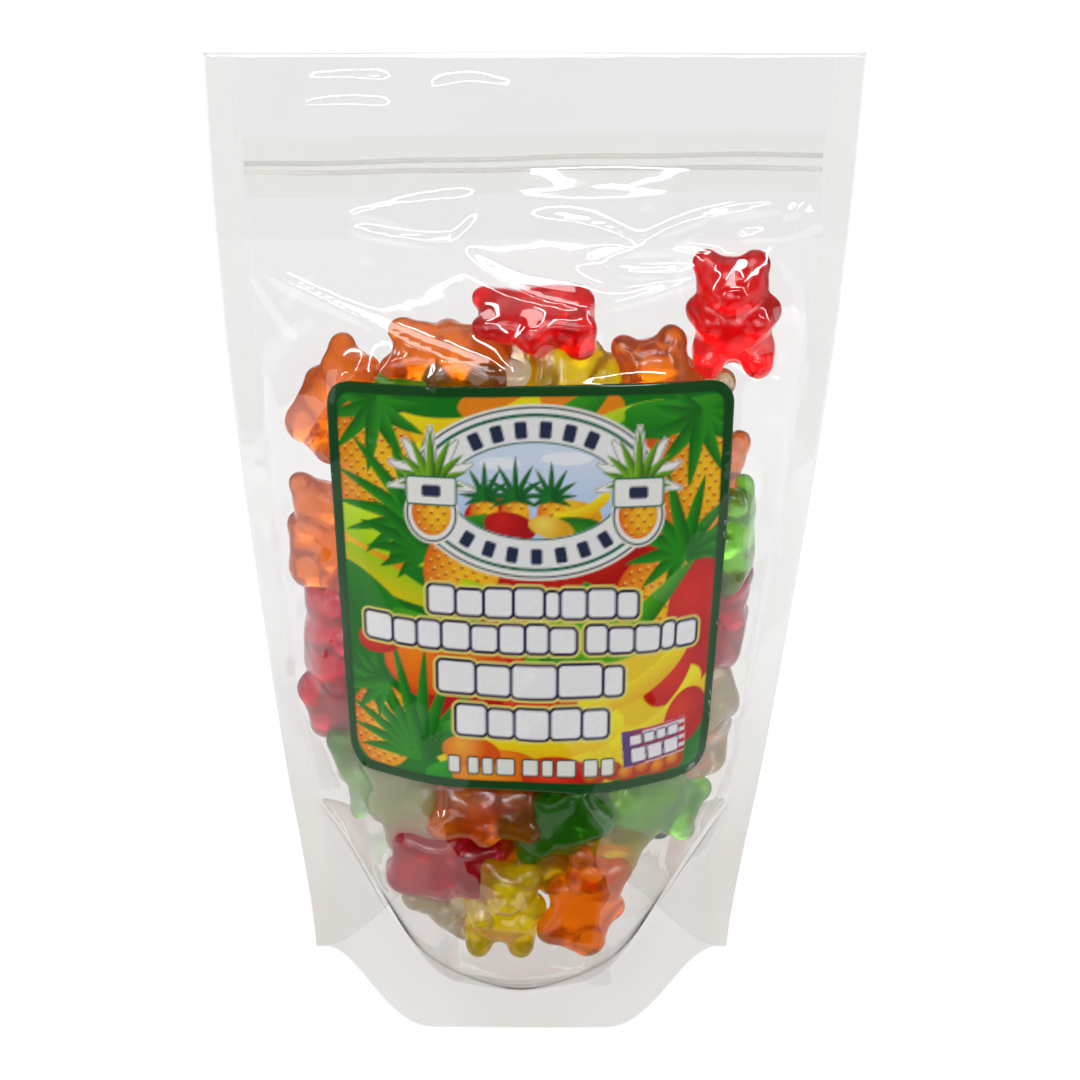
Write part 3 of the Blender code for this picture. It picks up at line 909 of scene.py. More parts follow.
def film_material(settings):
    """Clear laminate film: glassy gloss on both faces, a faint tint over white, milky where it is
    welded to another layer, with painted shade towards the foot and a painted highlight along the gusset
    weld."""
    material, tree, out = new_material("clear_laminate_film")
    where = add_node(tree, "ShaderNodeTexCoord")
    wave = add_node(tree, "ShaderNodeTexNoise", {
        "Vector": where.outputs["Object"], "Scale": 1 / (9 * MM), "Detail": 2.0, "Roughness": 0.5,
    })
    wrinkle = add_node(tree, "ShaderNodeBump", {
        "Height": wave.outputs["Fac"], "Strength": 0.25, "Distance": 0.5 * MM,
    })
    seal = add_node(tree, "ShaderNodeAttribute", attribute_name="seal")
    side = add_node(tree, "ShaderNodeNewGeometry")
    outer = add_node(tree, "ShaderNodeMath", {0: 1.0, 1: side.outputs["Backfacing"]}, operation="SUBTRACT")
    mirror = add_node(tree, "ShaderNodeFresnel", {"IOR": 1.5, "Normal": wrinkle.outputs["Normal"]})
    both = add_node(tree, "ShaderNodeMath", {
        0: mirror.outputs["Fac"], 1: 2.0,
    }, operation="MULTIPLY", use_clamp=True)
    share = add_node(tree, "ShaderNodeMath", {0: both.outputs[0], 1: outer.outputs[0]}, operation="MULTIPLY")
    # Painted shade: towards the foot the film lets less light through, by the darker skirt tint.
    foot_shade = add_node(tree, "ShaderNodeAttribute", attribute_name="foot_shade")
    tint = add_node(tree, "ShaderNodeMix", {
        "Factor": foot_shade.outputs["Fac"],
        6: (*settings.film_tint, 1),
        7: (*settings.shaded_skirt_tint, 1),
    }, data_type="RGBA")
    clear = add_node(tree, "ShaderNodeBsdfTransparent", {"Color": tint.outputs[2]})
    gloss = add_node(tree, "ShaderNodeBsdfAnisotropic", {
        "Roughness": 0.045, "Normal": wrinkle.outputs["Normal"],
    })
    # Milky where the layers are sealed. The milkier line along the gusset weld is a painted highlight.
    milk = add_node(tree, "ShaderNodeBsdfTranslucent", {"Color": (*linear("#CBCAC7"), 1)})
    haze = add_node(tree, "ShaderNodeMath", {
        0: seal.outputs["Fac"], 1: 0.07, 2: 0.012,
    }, operation="MULTIPLY_ADD")
    body = add_node(tree, "ShaderNodeMixShader", {
        0: haze.outputs[0], 1: clear.outputs[0], 2: milk.outputs[0],
    })
    whole = add_node(tree, "ShaderNodeMixShader", {
        0: share.outputs[0], 1: body.outputs[0], 2: gloss.outputs[0],
    })
    tree.links.new(whole.outputs[0], out.inputs["Surface"])
    return material


def build_film(settings, surface):
    material = film_material(settings)
    rows, columns = FILM_ROWS + 1, FILM_COLUMNS + 1
    pieces = []
    shapes = {}
    for name, side in (("film_front", -1), ("film_back", 1)):
        points, seal, foot_shade = film_sheet(settings, surface, side)
        shapes[side] = points
        faces = grid_faces(rows, columns)
        if side > 0:
            faces = [face[::-1] for face in faces]
        mesh = mesh_from(name, points.reshape(-1, 3), faces)
        point_attribute(mesh, "seal", seal)
        point_attribute(mesh, "foot_shade", foot_shade)
        mesh.materials.append(material)
        piece = new_object(name, mesh)
        solidify(piece, settings.film_thickness, -1)
        pieces.append(piece)
    u = np.linspace(-0.985, 0.985, GUSSET_COLUMNS + 1)[None, :]
    v = np.linspace(-1, 1, GUSSET_ROWS + 1)[:, None]
    seal_z = gusset_seal_height(u) + 0 * v
    height = gusset_height(u, v)
    x = u * inner_half_width(seal_z)
    y = v * (film_depth(u, seal_z) - settings.film_thickness - 0.05 * MM)
    points = np.stack([x, y, height], axis=-1)
    mesh = mesh_from("film_gusset", points.reshape(-1, 3), grid_faces(GUSSET_ROWS + 1, GUSSET_COLUMNS + 1))
    point_attribute(mesh, "seal", np.zeros(points.shape[:2]))
    # The whole gusset takes the darker skirt tint: painted shade for the floor's shadow beneath it.
    point_attribute(mesh, "foot_shade", np.full(points.shape[:2], 1.0))
    mesh.materials.append(material)
    gusset = new_object("film_gusset", mesh)
    solidify(gusset, settings.film_thickness, -1)
    pieces.append(gusset)
    for piece in pieces:
        fit_piece(piece, "pouch")
    return shapes


# Zip


def zip_tree():
    """Geometry Nodes that run a profile along a line."""
    tree = bpy.data.node_groups.new("Run profile", "GeometryNodeTree")
    face = tree.interface
    face.new_socket("Geometry", in_out="OUTPUT", socket_type="NodeSocketGeometry")
    face.new_socket("Line", in_out="INPUT", socket_type="NodeSocketGeometry")
    face.new_socket("Profile", in_out="INPUT", socket_type="NodeSocketObject")
    face.new_socket("Plastic", in_out="INPUT", socket_type="NodeSocketMaterial")
    given = tree.nodes.new("NodeGroupInput")
    line = add_node(tree, "GeometryNodeMeshToCurve", {"Mesh": given.outputs["Line"]})
    profile = add_node(tree, "GeometryNodeObjectInfo", {"Object": given.outputs["Profile"]})
    ring_curve = add_node(tree, "GeometryNodeMeshToCurve", {"Mesh": profile.outputs["Geometry"]})
    swept = add_node(tree, "GeometryNodeCurveToMesh", {
        "Curve": line.outputs[0], "Profile Curve": ring_curve.outputs[0], "Fill Caps": True,
    })
    real = add_node(tree, "GeometryNodeRealizeInstances", {"Geometry": swept.outputs[0]})
    coloured = add_node(tree, "GeometryNodeSetMaterial", {
        "Geometry": real.outputs[0], "Material": given.outputs["Plastic"],
    })
    out = tree.nodes.new("NodeGroupOutput")
    tree.links.new(coloured.outputs[0], out.inputs[0])
    return tree


def zip_material():
    """Polyethylene zip: thin clear flanges, and satin cream where the rails are thick."""
    material, tree, out = new_material("polyethylene_zip")
    where = add_node(tree, "ShaderNodeTexCoord")
    streak = add_node(tree, "ShaderNodeTexNoise", {
        "Vector": where.outputs["Object"], "Scale": 1 / (3 * MM), "Detail": 2.0,
    })
    bump = add_node(tree, "ShaderNodeBump", {
        "Height": streak.outputs["Fac"], "Strength": 0.2, "Distance": 0.1 * MM,
    })
    solid = add_node(tree, "ShaderNodeBsdfPrincipled", {
        "Base Color": (*linear("#FFFAEE"), 1), "Roughness": 0.25, "IOR": 1.51,
        "Normal": bump.outputs["Normal"],
    })
    clear = add_node(tree, "ShaderNodeBsdfTransparent", {"Color": (0.996, 0.995, 0.990, 1)})
    thick = add_node(tree, "ShaderNodeAttribute", attribute_name="thick")
    cloudy = add_node(tree, "ShaderNodeMath", {
        0: thick.outputs["Fac"], 1: 0.30, 2: 0.004,
    }, operation="MULTIPLY_ADD")
    whole = add_node(tree, "ShaderNodeMixShader", {
        0: cloudy.outputs[0], 1: clear.outputs[0], 2: solid.outputs[0],
    })
    tree.links.new(whole.outputs[0], out.inputs["Surface"])
    return material


# The zip's section in mm: out from the middle plane, and up from the zip's height. A thin flange
# with one rail, drawn anticlockwise.
ZIP_PROFILES = {
    "zip_front": ((0.30, -5.6), (0.42, -5.6), (0.42, 0.35), (0.44, 0.62), (0.85, 0.70), (1.00, 0.95),
                  (0.85, 1.20), (0.44, 1.28), (0.42, 1.55), (0.42, 5.6), (0.30, 5.6), (0.30, 1.55),
                  (0.28, 1.28), (0.12, 0.95), (0.28, 0.62), (0.30, 0.35)),
    "zip_back": ((0.30, -5.6), (0.42, -5.6), (0.42, -1.55), (0.44, -1.28), (0.85, -1.20), (1.00, -0.95),
                 (0.85, -0.70), (0.44, -0.62), (0.42, -0.35), (0.42, 5.6), (0.30, 5.6), (0.30, -0.35),
                 (0.28, -0.62), (0.12, -0.95), (0.28, -1.28), (0.30, -1.55)),
}


def build_zip():
    tree = zip_tree()
    sockets = {s.name: s.identifier for s in tree.interface.items_tree if s.in_out == "INPUT"}
    material = zip_material()
    half = (ZIP_HIGH.x - ZIP_LOW.x) / 2 + 0.4 * MM
    count = 90
    for name, outline in ZIP_PROFILES.items():
        side = -1 if name == "zip_front" else 1
        # Curve to Mesh lays a profile's x to the line's side and its y upwards
        ring_points = [(-side * out * MM, up * MM, 0) for out, up in outline]
        if side > 0:
            ring_points.reverse()
        profile_mesh = bpy.data.meshes.new("profile")
        edges = [(i, (i + 1) % len(ring_points)) for i in range(len(ring_points))]
        profile_mesh.from_pydata(ring_points, edges, [])
        profile = new_object("profile", profile_mesh)
        x = np.linspace(-half, half, count)
        sway = 0.30 * MM * np.sin(x / half * 2.6 + 0.6) + 0.10 * MM * np.sin(x / half * 11)
        # The two rails run closer together towards one end
        rail = (0.25 if side < 0 else -0.25) * (x / half) * MM
        z = ZIP_HEIGHT - 0.2 * MM + sway + 0.5 * MM * x / half - rail
        line = np.stack([x, np.zeros(count), z], axis=1)
        line_mesh = bpy.data.meshes.new("line")
        line_mesh.from_pydata(line.tolist(), [(i, i + 1) for i in range(count - 1)], [])
        runner = new_object("line", line_mesh)
        run = runner.modifiers.new("run", "NODES")
        run.node_group = tree
        run[sockets["Profile"]] = profile
        run[sockets["Plastic"]] = material
        piece = made_plain(runner, name)
        bpy.data.objects.remove(profile)
        points = read_points(piece.data)
        # The ends are crushed flat in the side seals
        crush = smooth((half - np.abs(points[:, 0])) / (3 * MM))
        points[:, 1] *= 0.35 + 0.65 * crush
        write_points(piece.data, points)
        rise = np.abs(np.abs(points[:, 2] - np.interp(points[:, 0], x, z)) - 0.95 * MM)
        point_attribute(piece.data, "thick", smooth((0.50 * MM - rise) / (0.12 * MM)))
        bm = bmesh.new()
        bm.from_mesh(piece.data)
        bmesh.ops.remove_doubles(bm, verts=bm.verts, dist=0.001 * MM)
        bmesh.ops.recalc_face_normals(bm, faces=bm.faces)
        bm.to_mesh(piece.data)
        bm.free()
        piece.data.shade_smooth()
        piece.data.set_sharp_from_angle(angle=math.radians(35))
        fit_piece(piece, "zip_strip")


# Label

LABEL_COLUMNS = 244
LABEL_ROWS = 260
LABEL_CORNER = 5 * MM
LABEL_CELL = 0.32
LABEL_HALF_WIDTH = 39.8
# The label was put on slightly askew: how far its head and its foot are to the side, and how far
# its foot drops from one side to the other, in mm.
LABEL_HEAD_SHIFT = 0.2
LABEL_FOOT_SHIFT = 1.4
LABEL_FOOT_DROP = 1.6
LABEL_LOWERED = 1.1


class Painter:
    """Paints soft-edged shapes on points (x, y) in mm, x from the label's middle and y from its foot."""

    def __init__(self, x, y, ground):
        self.x, self.y = x, y
        self.colour = np.empty((len(x), 3))
        self.colour[:] = linear(ground)

    def lay(self, distance, code, second=None, share=None, inside=None):
        """Paints where distance is below 0, blending to a second colour by share."""
        cover = np.clip(0.5 - distance / LABEL_CELL, 0, 1)
        if inside is not None:
            cover = np.minimum(cover, np.clip(0.5 - inside / LABEL_CELL, 0, 1))
        tint = np.array(linear(code))[None, :]
        if second is not None:
            blend = np.clip(share, 0, 1)[:, None]
            tint = tint * (1 - blend) + np.array(linear(second))[None, :] * blend
        self.colour += (tint - self.colour) * cover[:, None]

    def turned(self, centre, angle):
        """Coordinates along and across a direction given in degrees."""
        c, s = math.cos(math.radians(angle)), math.sin(math.radians(angle))
        dx, dy = self.x - centre[0], self.y - centre[1]
        return dx * c + dy * s, dy * c - dx * s

    def oval(self, centre, radii, angle=0):
        a, b = self.turned(centre, angle)
        reach = np.hypot(a / radii[0], b / radii[1]) + 1e-9
        slope = np.hypot(a / radii[0] ** 2, b / radii[1] ** 2) + 1e-9
        return reach * (reach - 1) / slope

    def block(self, centre, half, corner, angle=0):
        a, b = self.turned(centre, angle)
        da, db = np.abs(a) - half[0] + corner, np.abs(b) - half[1] + corner
        outside = np.hypot(np.maximum(da, 0), np.maximum(db, 0))
        return outside + np.minimum(np.maximum(da, db), 0) - corner

    def blade(self, root, length, width, angle, bend=0.0):
        """The edge of a leaf that grows from its root and narrows to a point."""
        a, b = self.turned(root, angle)
        t = np.clip(a / length, 0, 1)
        half = width / 2 * (t + 0.02) ** 0.35 * (1 - t) ** 0.8 * 1.6
        across = np.abs(b - bend * t * t) - half
        ends = np.maximum(-a, a - length)
        return np.maximum(across, ends)

    def leaf(self, root, length, width, angle, bend=0.0, code="#0B6E12", light="#3FA81E"):
        a, b = self.turned(root, angle)
        edge = self.blade(root, length, width, angle, bend)
        t = np.clip(a / length, 0, 1)
        side = (b - bend * t * t) / (width / 2)
        self.lay(edge, code, light, 0.5 + 0.6 * side)

    def crown(self, root, length, angle, count=9, spread=150, width=3.2, code="#05610F", light="#2C9A1C"):
        order = sorted(range(count), key=lambda i: -abs(i - (count - 1) / 2))
        for i in order:
            share = i / (count - 1) - 0.5
            reach = length * (1 - 0.45 * abs(share) * 2)
            self.leaf(root, reach, width, angle - share * spread, bend=-share * reach * 0.5,
                      code=code, light=light)

    def pineapple(self, centre, radii, angle=90):
        """A golden body with rows of rounded eyes, seen upright when angle is 90."""
        edge = self.oval(centre, radii, angle)
        a, b = self.turned(centre, angle)
        shade = np.hypot(a / radii[0], (b + radii[1] * 0.35) / radii[1])
        self.lay(edge, "#FFC21A", "#E8540A", (shade - 0.35) * 0.9)
        pitch = 2.5
        p, q = (a + b) / pitch, (a - b) / pitch
        cell = np.hypot(p - np.round(p), q - np.round(q))
        self.lay((cell - 0.20) * pitch * 0.7, "#C8400A", inside=edge + 0.5)
        shift = np.hypot(p - 0.16 - np.round(p - 0.16), q - 0.16 - np.round(q - 0.16))
        self.lay((shift - 0.13) * pitch * 0.7, "#FFE26A", inside=edge + 0.7)

    def banana(self, centre, radii, angle, code="#F7E40A", light="#FFB808"):
        edge = self.oval(centre, radii, angle)
        _, b = self.turned(centre, angle)
        middle = self.back((0, radii[1] * 1.25), centre, angle)
        bite = self.oval(middle, (radii[0] * 1.15, radii[1] * 1.4), angle)
        self.lay(np.maximum(edge, -bite), code, light, -b / radii[1])

    def back(self, offset, centre, angle):
        c, s = math.cos(math.radians(angle)), math.sin(math.radians(angle))
        return centre[0] + offset[0] * c - offset[1] * s, centre[1] + offset[0] * s + offset[1] * c

    def fruit(self, centre, radii, angle=0, code="#D60F08", light="#F7A010"):
        edge = self.oval(centre, radii, angle)
        shine = np.hypot(self.x - centre[0] + radii[0] * 0.35, self.y - centre[1] - radii[1] * 0.35)
        self.lay(edge, light, code, shine / max(radii) * 1.1)

    def words(self, start, end, foot, top, widths):
        """A row of plain rounded white blocks of given widths, edged in navy on a pale glow."""
        pitch = (end - start) / sum(widths)
        middle = (foot + top) / 2
        edges, at = [], start
        for index, wide in enumerate(widths):
            half = (pitch * wide / 2 - 0.30, (top - foot) / 2 - 0.25 * (index % 3 == 1))
            lift = (0.2, -0.1, 0.05)[index % 3]
            edges.append(self.block((at + pitch * wide / 2, middle + lift), half, 0.9))
            at += pitch * wide
        nearest = np.minimum.reduce(edges)
        self.lay(nearest - 1.05, "#F2E87A")
        self.lay(nearest - 0.62, "#2A1A4A")
        self.lay(nearest + 0.04, "#FBFAFB")


def paint_label(x, y, settings):
    """Tropical leaves and fruit, a plain oval badge and plain blocks where words would be."""
    art = Painter(x, y, "#0E7A14")
    # Broad fields of colour
    art.lay(art.oval((-30, 30), (16, 14), 20), "#067010")
    art.lay(art.oval((6, 45), (22, 9), 10), "#C81808")
    art.lay(art.oval((-4, 24), (26, 9), -5), "#E0420A")
    art.lay(art.oval((26, 20), (15, 12), 30), "#F6D008")
    art.lay(art.oval((2, 9), (22, 9), 0), "#F8DE10")
    art.lay(art.oval((12, 33), (20, 6), 12), "#5CB012")
    art.lay(art.oval((-14, 18), (11, 7), 50), "#C01008")
    # Top edge
    art.lay(art.oval((2, 79), (16, 5), 0), "#F28A10")
    art.banana((-13, 78), (15, 6.5), 8)
    art.banana((-8, 73), (15, 6), 14, "#FFF020", "#F0B008")
    art.leaf((4, 74), 15, 7, 38)
    art.leaf((10, 73), 17, 6, 24, code="#7CC010", light="#C8E020")
    art.leaf((16, 72), 24, 9, 20)
    art.leaf((18, 76), 24, 9, 2, code="#0A7416", light="#2F9C1E")
    # Fruit down the left
    art.pineapple((-31.5, 67), (13.5, 9.5), 88)
    art.crown((-30, 79), 14, 262, 9, 240, 3.6)
    art.fruit((-33, 49), (9, 5), -20, "#F09010", "#FFC830")
    art.leaf((-40, 57), 25, 9, -28, 1.5, "#A8D808", "#D4F028")
    art.leaf((-40, 48), 27, 8, -24, 1.0, "#E8C808", "#9AD010")
    art.leaf((-41, 44), 30, 12, -38, 2.0, "#0A6A12", "#1E8A18")
    art.crown((-22, 56), 21, 128, 11, 190, 3.4)
    art.crown((-20, 50), 16, 150, 8, 120, 3.4, "#045A10", "#1F8A16")
    art.pineapple((-13.5, 47), (9, 7.5), 70)
    # Fruit down the right
    art.fruit((25, 66), (6, 8), 60, "#C81008", "#F07008")
    art.fruit((24, 59), (5, 7), -30, "#E8560A", "#F89A18")
    art.pineapple((33, 65), (12.5, 8.2), 86)
    art.crown((33, 76.5), 14, 262, 9, 230, 3.6)
    art.fruit((16, 49), (7, 6), 20, "#B80C08", "#E03008")
    art.pineapple((24.5, 42), (9, 7.5), 60)
    art.crown((31, 50), 17, 105, 11, 250, 3.4)
    art.fruit((35, 37), (7.5, 11), 0, "#C00408", "#E82010")
    art.leaf((18, 32), 22, 5.5, 52, -2, "#0A6E12", "#5CB81C")
    art.fruit((31, 24), (9, 5.5), 30, "#C80808", "#F03018")
    art.banana((26, 17), (12, 6), 35, "#FFF018", "#F4B008")
    art.banana((21, 25), (13, 5), 30, "#FFE810", "#F0B808")
    # Lower middle
    art.fruit((-20, 26), (10, 6), -8, "#E8480A", "#FF8A10")
    art.leaf((-4, 22), 16, 6, 30, 0, "#3FA014", "#A8D818")
    art.leaf((2, 30), 16, 5, -20, 0, "#0A7A14", "#3AA01C")
    art.banana((2, 14), (17, 7), 4, "#FFF010", "#F6C008")
    art.banana((-2, 8), (15, 6), -4, "#FFE010", "#F0A808")
    art.pineapple((-31, 11), (9.5, 7.5), 80)
    art.crown((-22, 6), 26, 104, 11, 130, 3.4)
    art.crown((-30, 21), 12, 200, 7, 150, 3.0)
    # Fruit along the foot
    art.leaf((-21, 1), 15, 8, 22, 0, "#0A8414", "#2EA81E")
    art.fruit((-7, 4), (9, 5), 10, "#F07008", "#FFB020")
    art.fruit((6, 3), (8, 5), -10, "#D00C08", "#F84010")
    for i in range(6):
        art.fruit((13 + 3.6 * i, 3.6 + 0.9 * (i % 2)), (2.3, 2.1), 0, "#C03808", "#FFA828")
    # Loose leaves and slices between them
    art.leaf((-28, 36), 15, 5, -12, 0.8, "#0A6E12", "#4CB01C")
    art.fruit((-30, 31), (6, 3.6), 25, "#C80E08", "#F04A10")
    art.leaf((-14, 44), 13, 4, -25, 0, "#F6E010", "#A8D408")
    art.fruit((2, 40.5), (9, 3.4), 4, "#B80A08", "#E83010")
    art.leaf((-2, 41), 14, 3.6, -14, 0, "#F4D808", "#F8A010")
    art.leaf((10, 44), 12, 4, -40, 0, "#0A7014", "#38A01C")
    art.fruit((-9, 28), (8, 4), 12, "#D81C08", "#F07A10")
    art.leaf((20, 36), 16, 4.2, -18, -1, "#0C7A14", "#6CC01C")
    art.fruit((33, 14), (5, 6.5), -20, "#C40A08", "#E83414")
    art.leaf((-18, 13), 14, 4.4, 8, 0, "#0A7A14", "#3CA81C")
    art.fruit((-12, 8.4), (6, 3.4), -6, "#E8560A", "#FFB020")
    # The badge
    badge = (0.8, 62.2)
    art.lay(art.oval(badge, (25.2, 17.4)), "#F4F4E4")
    art.lay(art.oval(badge, (24.7, 16.9)), "#24304E")
    art.lay(art.oval(badge, (24.3, 16.5)), "#F6F6F2")
    art.lay(art.oval(badge, (23.3, 15.6)), "#0E6B4E")
    art.lay(art.oval(badge, (22.6, 14.9)), "#F4F4F4")
    inner = art.oval((0.8, 62.6), (16.6, 9.4))
    art.lay(inner - 0.35, "#0E6B4E")
    art.lay(inner, "#BCD4F4", "#D8E6FA", (y - 58) / 10)
    art.lay(art.oval((-6, 68), (4, 1.2), 0), "#F4F8FF", inside=inner)
    art.lay(art.oval((7, 69), (5, 1.3), 0), "#F4F8FF", inside=inner)
    heap = Painter(x, y, "#0E7A14")
    heap.colour = art.colour.copy()
    heap.fruit((-8, 58), (5, 3.4), 10, "#C00810", "#E83018")
    heap.fruit((8, 58), (6, 3.0), -8, "#F0A008", "#FFE030")
    for px, size in ((-9, 7.5), (-3, 8.5), (4, 7.5)):
        heap.pineapple((px, 58), (3.6, 2.8), 90)
        heap.crown((px, 61), size, 90, 9, 190, 1.5, "#06501C", "#1E8030")
    heap.banana((10, 60), (6, 2.6), 25, "#FFE820", "#F4B008")
    heap.leaf((-14, 55.5), 12, 4.5, 8, 0, "#0C6A18", "#3E9C20")
    heap.leaf((14, 55), 11, 4.5, 170, 0, "#0C6A18", "#3E9C20")
    heap.fruit((-4, 55.6), (5.2, 2.8), -12, "#B00810", "#D82018")
    heap.fruit((4, 55.4), (4.6, 2.2), -14, "#E8A818", "#FFE060")
    cover = np.clip(0.5 - inner / LABEL_CELL, 0, 1)[:, None]
    art.colour += (heap.colour - art.colour) * cover
    # A little pineapple behind a plain ribbon at each end
    for side in (-1, 1):
        end = side * 20.2 + 0.8
        for grow, code in ((1.5, "#F4F4E4"), (1.1, "#24304E"), (0.7, "#F6F6F2")):
            art.lay(art.oval((end, 57.6), (3.9, 4.6)) - grow, code)
            for angle in (162, 138, 114, 90, 66, 42, 18):
                reach = 11.5 - 0.055 * abs(angle - 90)
                bend = (90 - angle) * -0.04
                art.lay(art.blade((end, 63.2), reach, 2.3, angle, bend) - grow * 0.4, code)
        art.pineapple((end, 57.8), (4.6, 3.9), 90)
        art.crown((end, 63.2), 11.5, 90, 9, 150, 2.3, "#0A4F14", "#8CC828")
        ribbon = art.block((end, 62.2), (4.7, 2.6), 0.5)
        art.lay(ribbon - 0.4, "#0E6B4E")
        art.lay(ribbon, "#F6F6F2")
        art.lay(art.block((end, 62.2), (1.9, 1.2), 0.6), "#24304E")
    # Plain blocks round the badge
    for angle in (126, 112, 98, 84, 70, 56):
        turn = math.radians(angle)
        spot = (badge[0] + 19.6 * math.cos(turn), badge[1] + 12.4 * math.sin(turn))
        tilt = math.degrees(math.atan2(12.4 * math.cos(turn), -19.6 * math.sin(turn))) + 180
        art.lay(art.block(spot, (1.2, 1.7), 0.5, tilt), "#24304E")
    for angle in (228, 243, 257, 271, 285, 299, 314):
        turn = math.radians(angle)
        spot = (badge[0] + 19.8 * math.cos(turn), badge[1] + 12.6 * math.sin(turn))
        tilt = math.degrees(math.atan2(12.6 * math.cos(turn), -19.8 * math.sin(turn)))
        art.lay(art.block(spot, (1.15, 1.6), 0.5, tilt), "#24304E")
    # Plain blocks, as wide and tall as lines of words
    art.words(-20.5, 21.5, 37.3, 42.8, (1, 1, 1.05, 1.1, 0.55, 0.95, 1.05, 0.8))
    art.words(-34.0, 9.2, 30.0, 35.4, (1.1, 0.9, 0.9, 1.05, 1, 0.95, 0.85, 1))
    art.words(10.8, 34.4, 30.0, 35.4, (0.85, 1, 1, 0.6, 0.9))
    art.words(-18.8, 18.8, 20.9, 27.3, (1.1, 1, 1.3, 1.3, 0.6))
    art.words(-15.2, 15.8, 12.0, 18.2, (1, 0.85, 1.1, 1, 0.85))
    at = -16.6
    for index, wide in enumerate((2.1, 1.9, 1.9, 3.4, 2.9, 2.0, 3.6, 2.6, 2.4)):
        small = art.block((at + wide / 2, 5.4), (wide / 2, 1.7), 0.4)
        art.lay(small - 0.35, "#203828")
        art.lay(small, "#F2F2EA")
        at += wide + (1.0 if index % 3 else 1.9)
    # A small striped patch with two rows of plain blocks
    patch = art.block((26, 9.4), (7.2, 4.0), 0.4, 5)
    along, across = art.turned((26, 9.4), 5)
    stripes = (np.abs((across + 4.2) / 0.9 % 2 - 1) - 0.5) * 0.9
    art.lay(patch, "#F0E4E6")
    art.lay(stripes, "#C4183A", inside=patch)
    art.lay(patch, "#3A3F86", "#C4183A", (along + 7.2) / 6.0, inside=np.maximum(patch, along + 2.6))
    for rows, high, blocks in ((1.7, 1.0, (2.4, 2.2, 1.9, 2.3)), (-1.7, 1.5, (3.0, 3.1, 3.2))):
        at = -sum(blocks) / 2 - 0.35 * (len(blocks) - 1)
        for wide in blocks:
            middle = art.back((at + wide / 2, rows), (26, 9.4), 5)
            small = art.block(middle, (wide / 2, high), 0.3, 5)
            art.lay(small - 0.3, "#232A6A")
            art.lay(small, "#F8F4F6")
            at += wide + 0.7
    # The border
    tall = (LABEL_TOP - LABEL_BOTTOM) / MM / 2
    edge = art.block((0, tall), (LABEL_HALF_WIDTH, tall), LABEL_CORNER / MM)
    green = np.clip(0.5 + (edge + settings.border_width / MM) / LABEL_CELL, 0, 1)[:, None]
    art.colour += (np.array(tuple(settings.border))[None, :] - art.colour) * green
    return art.colour


def label_material():
    """Printed gloss paper: solid inks under a clear varnish."""
    material, tree, out = new_material("printed_gloss_paper")
    ink = add_node(tree, "ShaderNodeAttribute", attribute_name="ink")
    where = add_node(tree, "ShaderNodeTexCoord")
    tooth = add_node(tree, "ShaderNodeTexNoise", {
        "Vector": where.outputs["Object"], "Scale": 1 / (0.8 * MM), "Detail": 2.0,
    })
    # Slight unevenness in how the inks were laid down
    laid = add_node(tree, "ShaderNodeMapRange", {
        "Value": tooth.outputs["Fac"], "To Min": 0.93, "To Max": 1.05,
    })
    colour = add_node(tree, "ShaderNodeHueSaturation", {
        "Color": ink.outputs["Color"], "Value": laid.outputs["Result"],
    })
    wave = add_node(tree, "ShaderNodeTexNoise", {
        "Vector": where.outputs["Object"], "Scale": 1 / (22 * MM), "Detail": 1.0,
    })
    bump = add_node(tree, "ShaderNodeBump", {
        "Height": wave.outputs["Fac"], "Strength": 0.3, "Distance": 0.6 * MM,
    })
    shader = add_node(tree, "ShaderNodeBsdfPrincipled", {
        "Base Color": colour.outputs["Color"], "Roughness": 0.5, "IOR": 1.45, "Specular IOR Level": 0.12,
        "Coat Weight": 0.6, "Coat Roughness": 0.06,
        "Normal": bump.outputs["Normal"], "Coat Normal": bump.outputs["Normal"],
    })
    tree.links.new(shader.outputs[0], out.inputs["Surface"])
    return material


def label_half_width(y):
    """Half the label's width at height y above its foot, all in mm, with rounded corners."""
    tall = (LABEL_TOP - LABEL_BOTTOM) / MM
    corner = LABEL_CORNER / MM
    into = np.maximum(corner - np.minimum(y, tall - y), 0)
    return LABEL_HALF_WIDTH - (corner - np.sqrt(np.maximum(corner**2 - into**2, 0)))


def sample_sheet(points, s, z):
    """Points of a panel's grid at s along it and height z, and its outward normals."""
    rows, columns = points.shape[:2]
    ds = POUCH_WIDTH / (columns - 1)
    dz = POUCH_HEIGHT / (rows - 1)
    along_s, along_z = np.gradient(points, axis=1), np.gradient(points, axis=0)
    normal = np.cross(along_s, along_z)
    normal /= np.linalg.norm(normal, axis=2, keepdims=True)
    c = np.clip((s + POUCH_WIDTH / 2) / ds, 0, columns - 1.001)
    r = np.clip(z / dz, 0, rows - 1.001)
    i, j = r.astype(int), c.astype(int)
    fr, fc = (r - i)[..., None], (c - j)[..., None]
    found = []
    for grid in (points, normal):
        low = grid[i, j] * (1 - fc) + grid[i, j + 1] * fc
        high = grid[i + 1, j] * (1 - fc) + grid[i + 1, j + 1] * fc
        found.append(low * (1 - fr) + high * fr)
    return found


def bridge(outer, inner):
    """Triangles between two loops of point numbers that start beside each other."""
    faces = []
    i = j = 0
    while i < len(outer) or j < len(inner):
        if j >= len(inner) or (i < len(outer) and i / len(outer) <= j / len(inner)):
            faces.append((outer[i % len(outer)], outer[(i + 1) % len(outer)], inner[j % len(inner)]))
            i += 1
        else:
            faces.append((outer[i % len(outer)], inner[(j + 1) % len(inner)], inner[j % len(inner)]))
            j += 1
    return faces


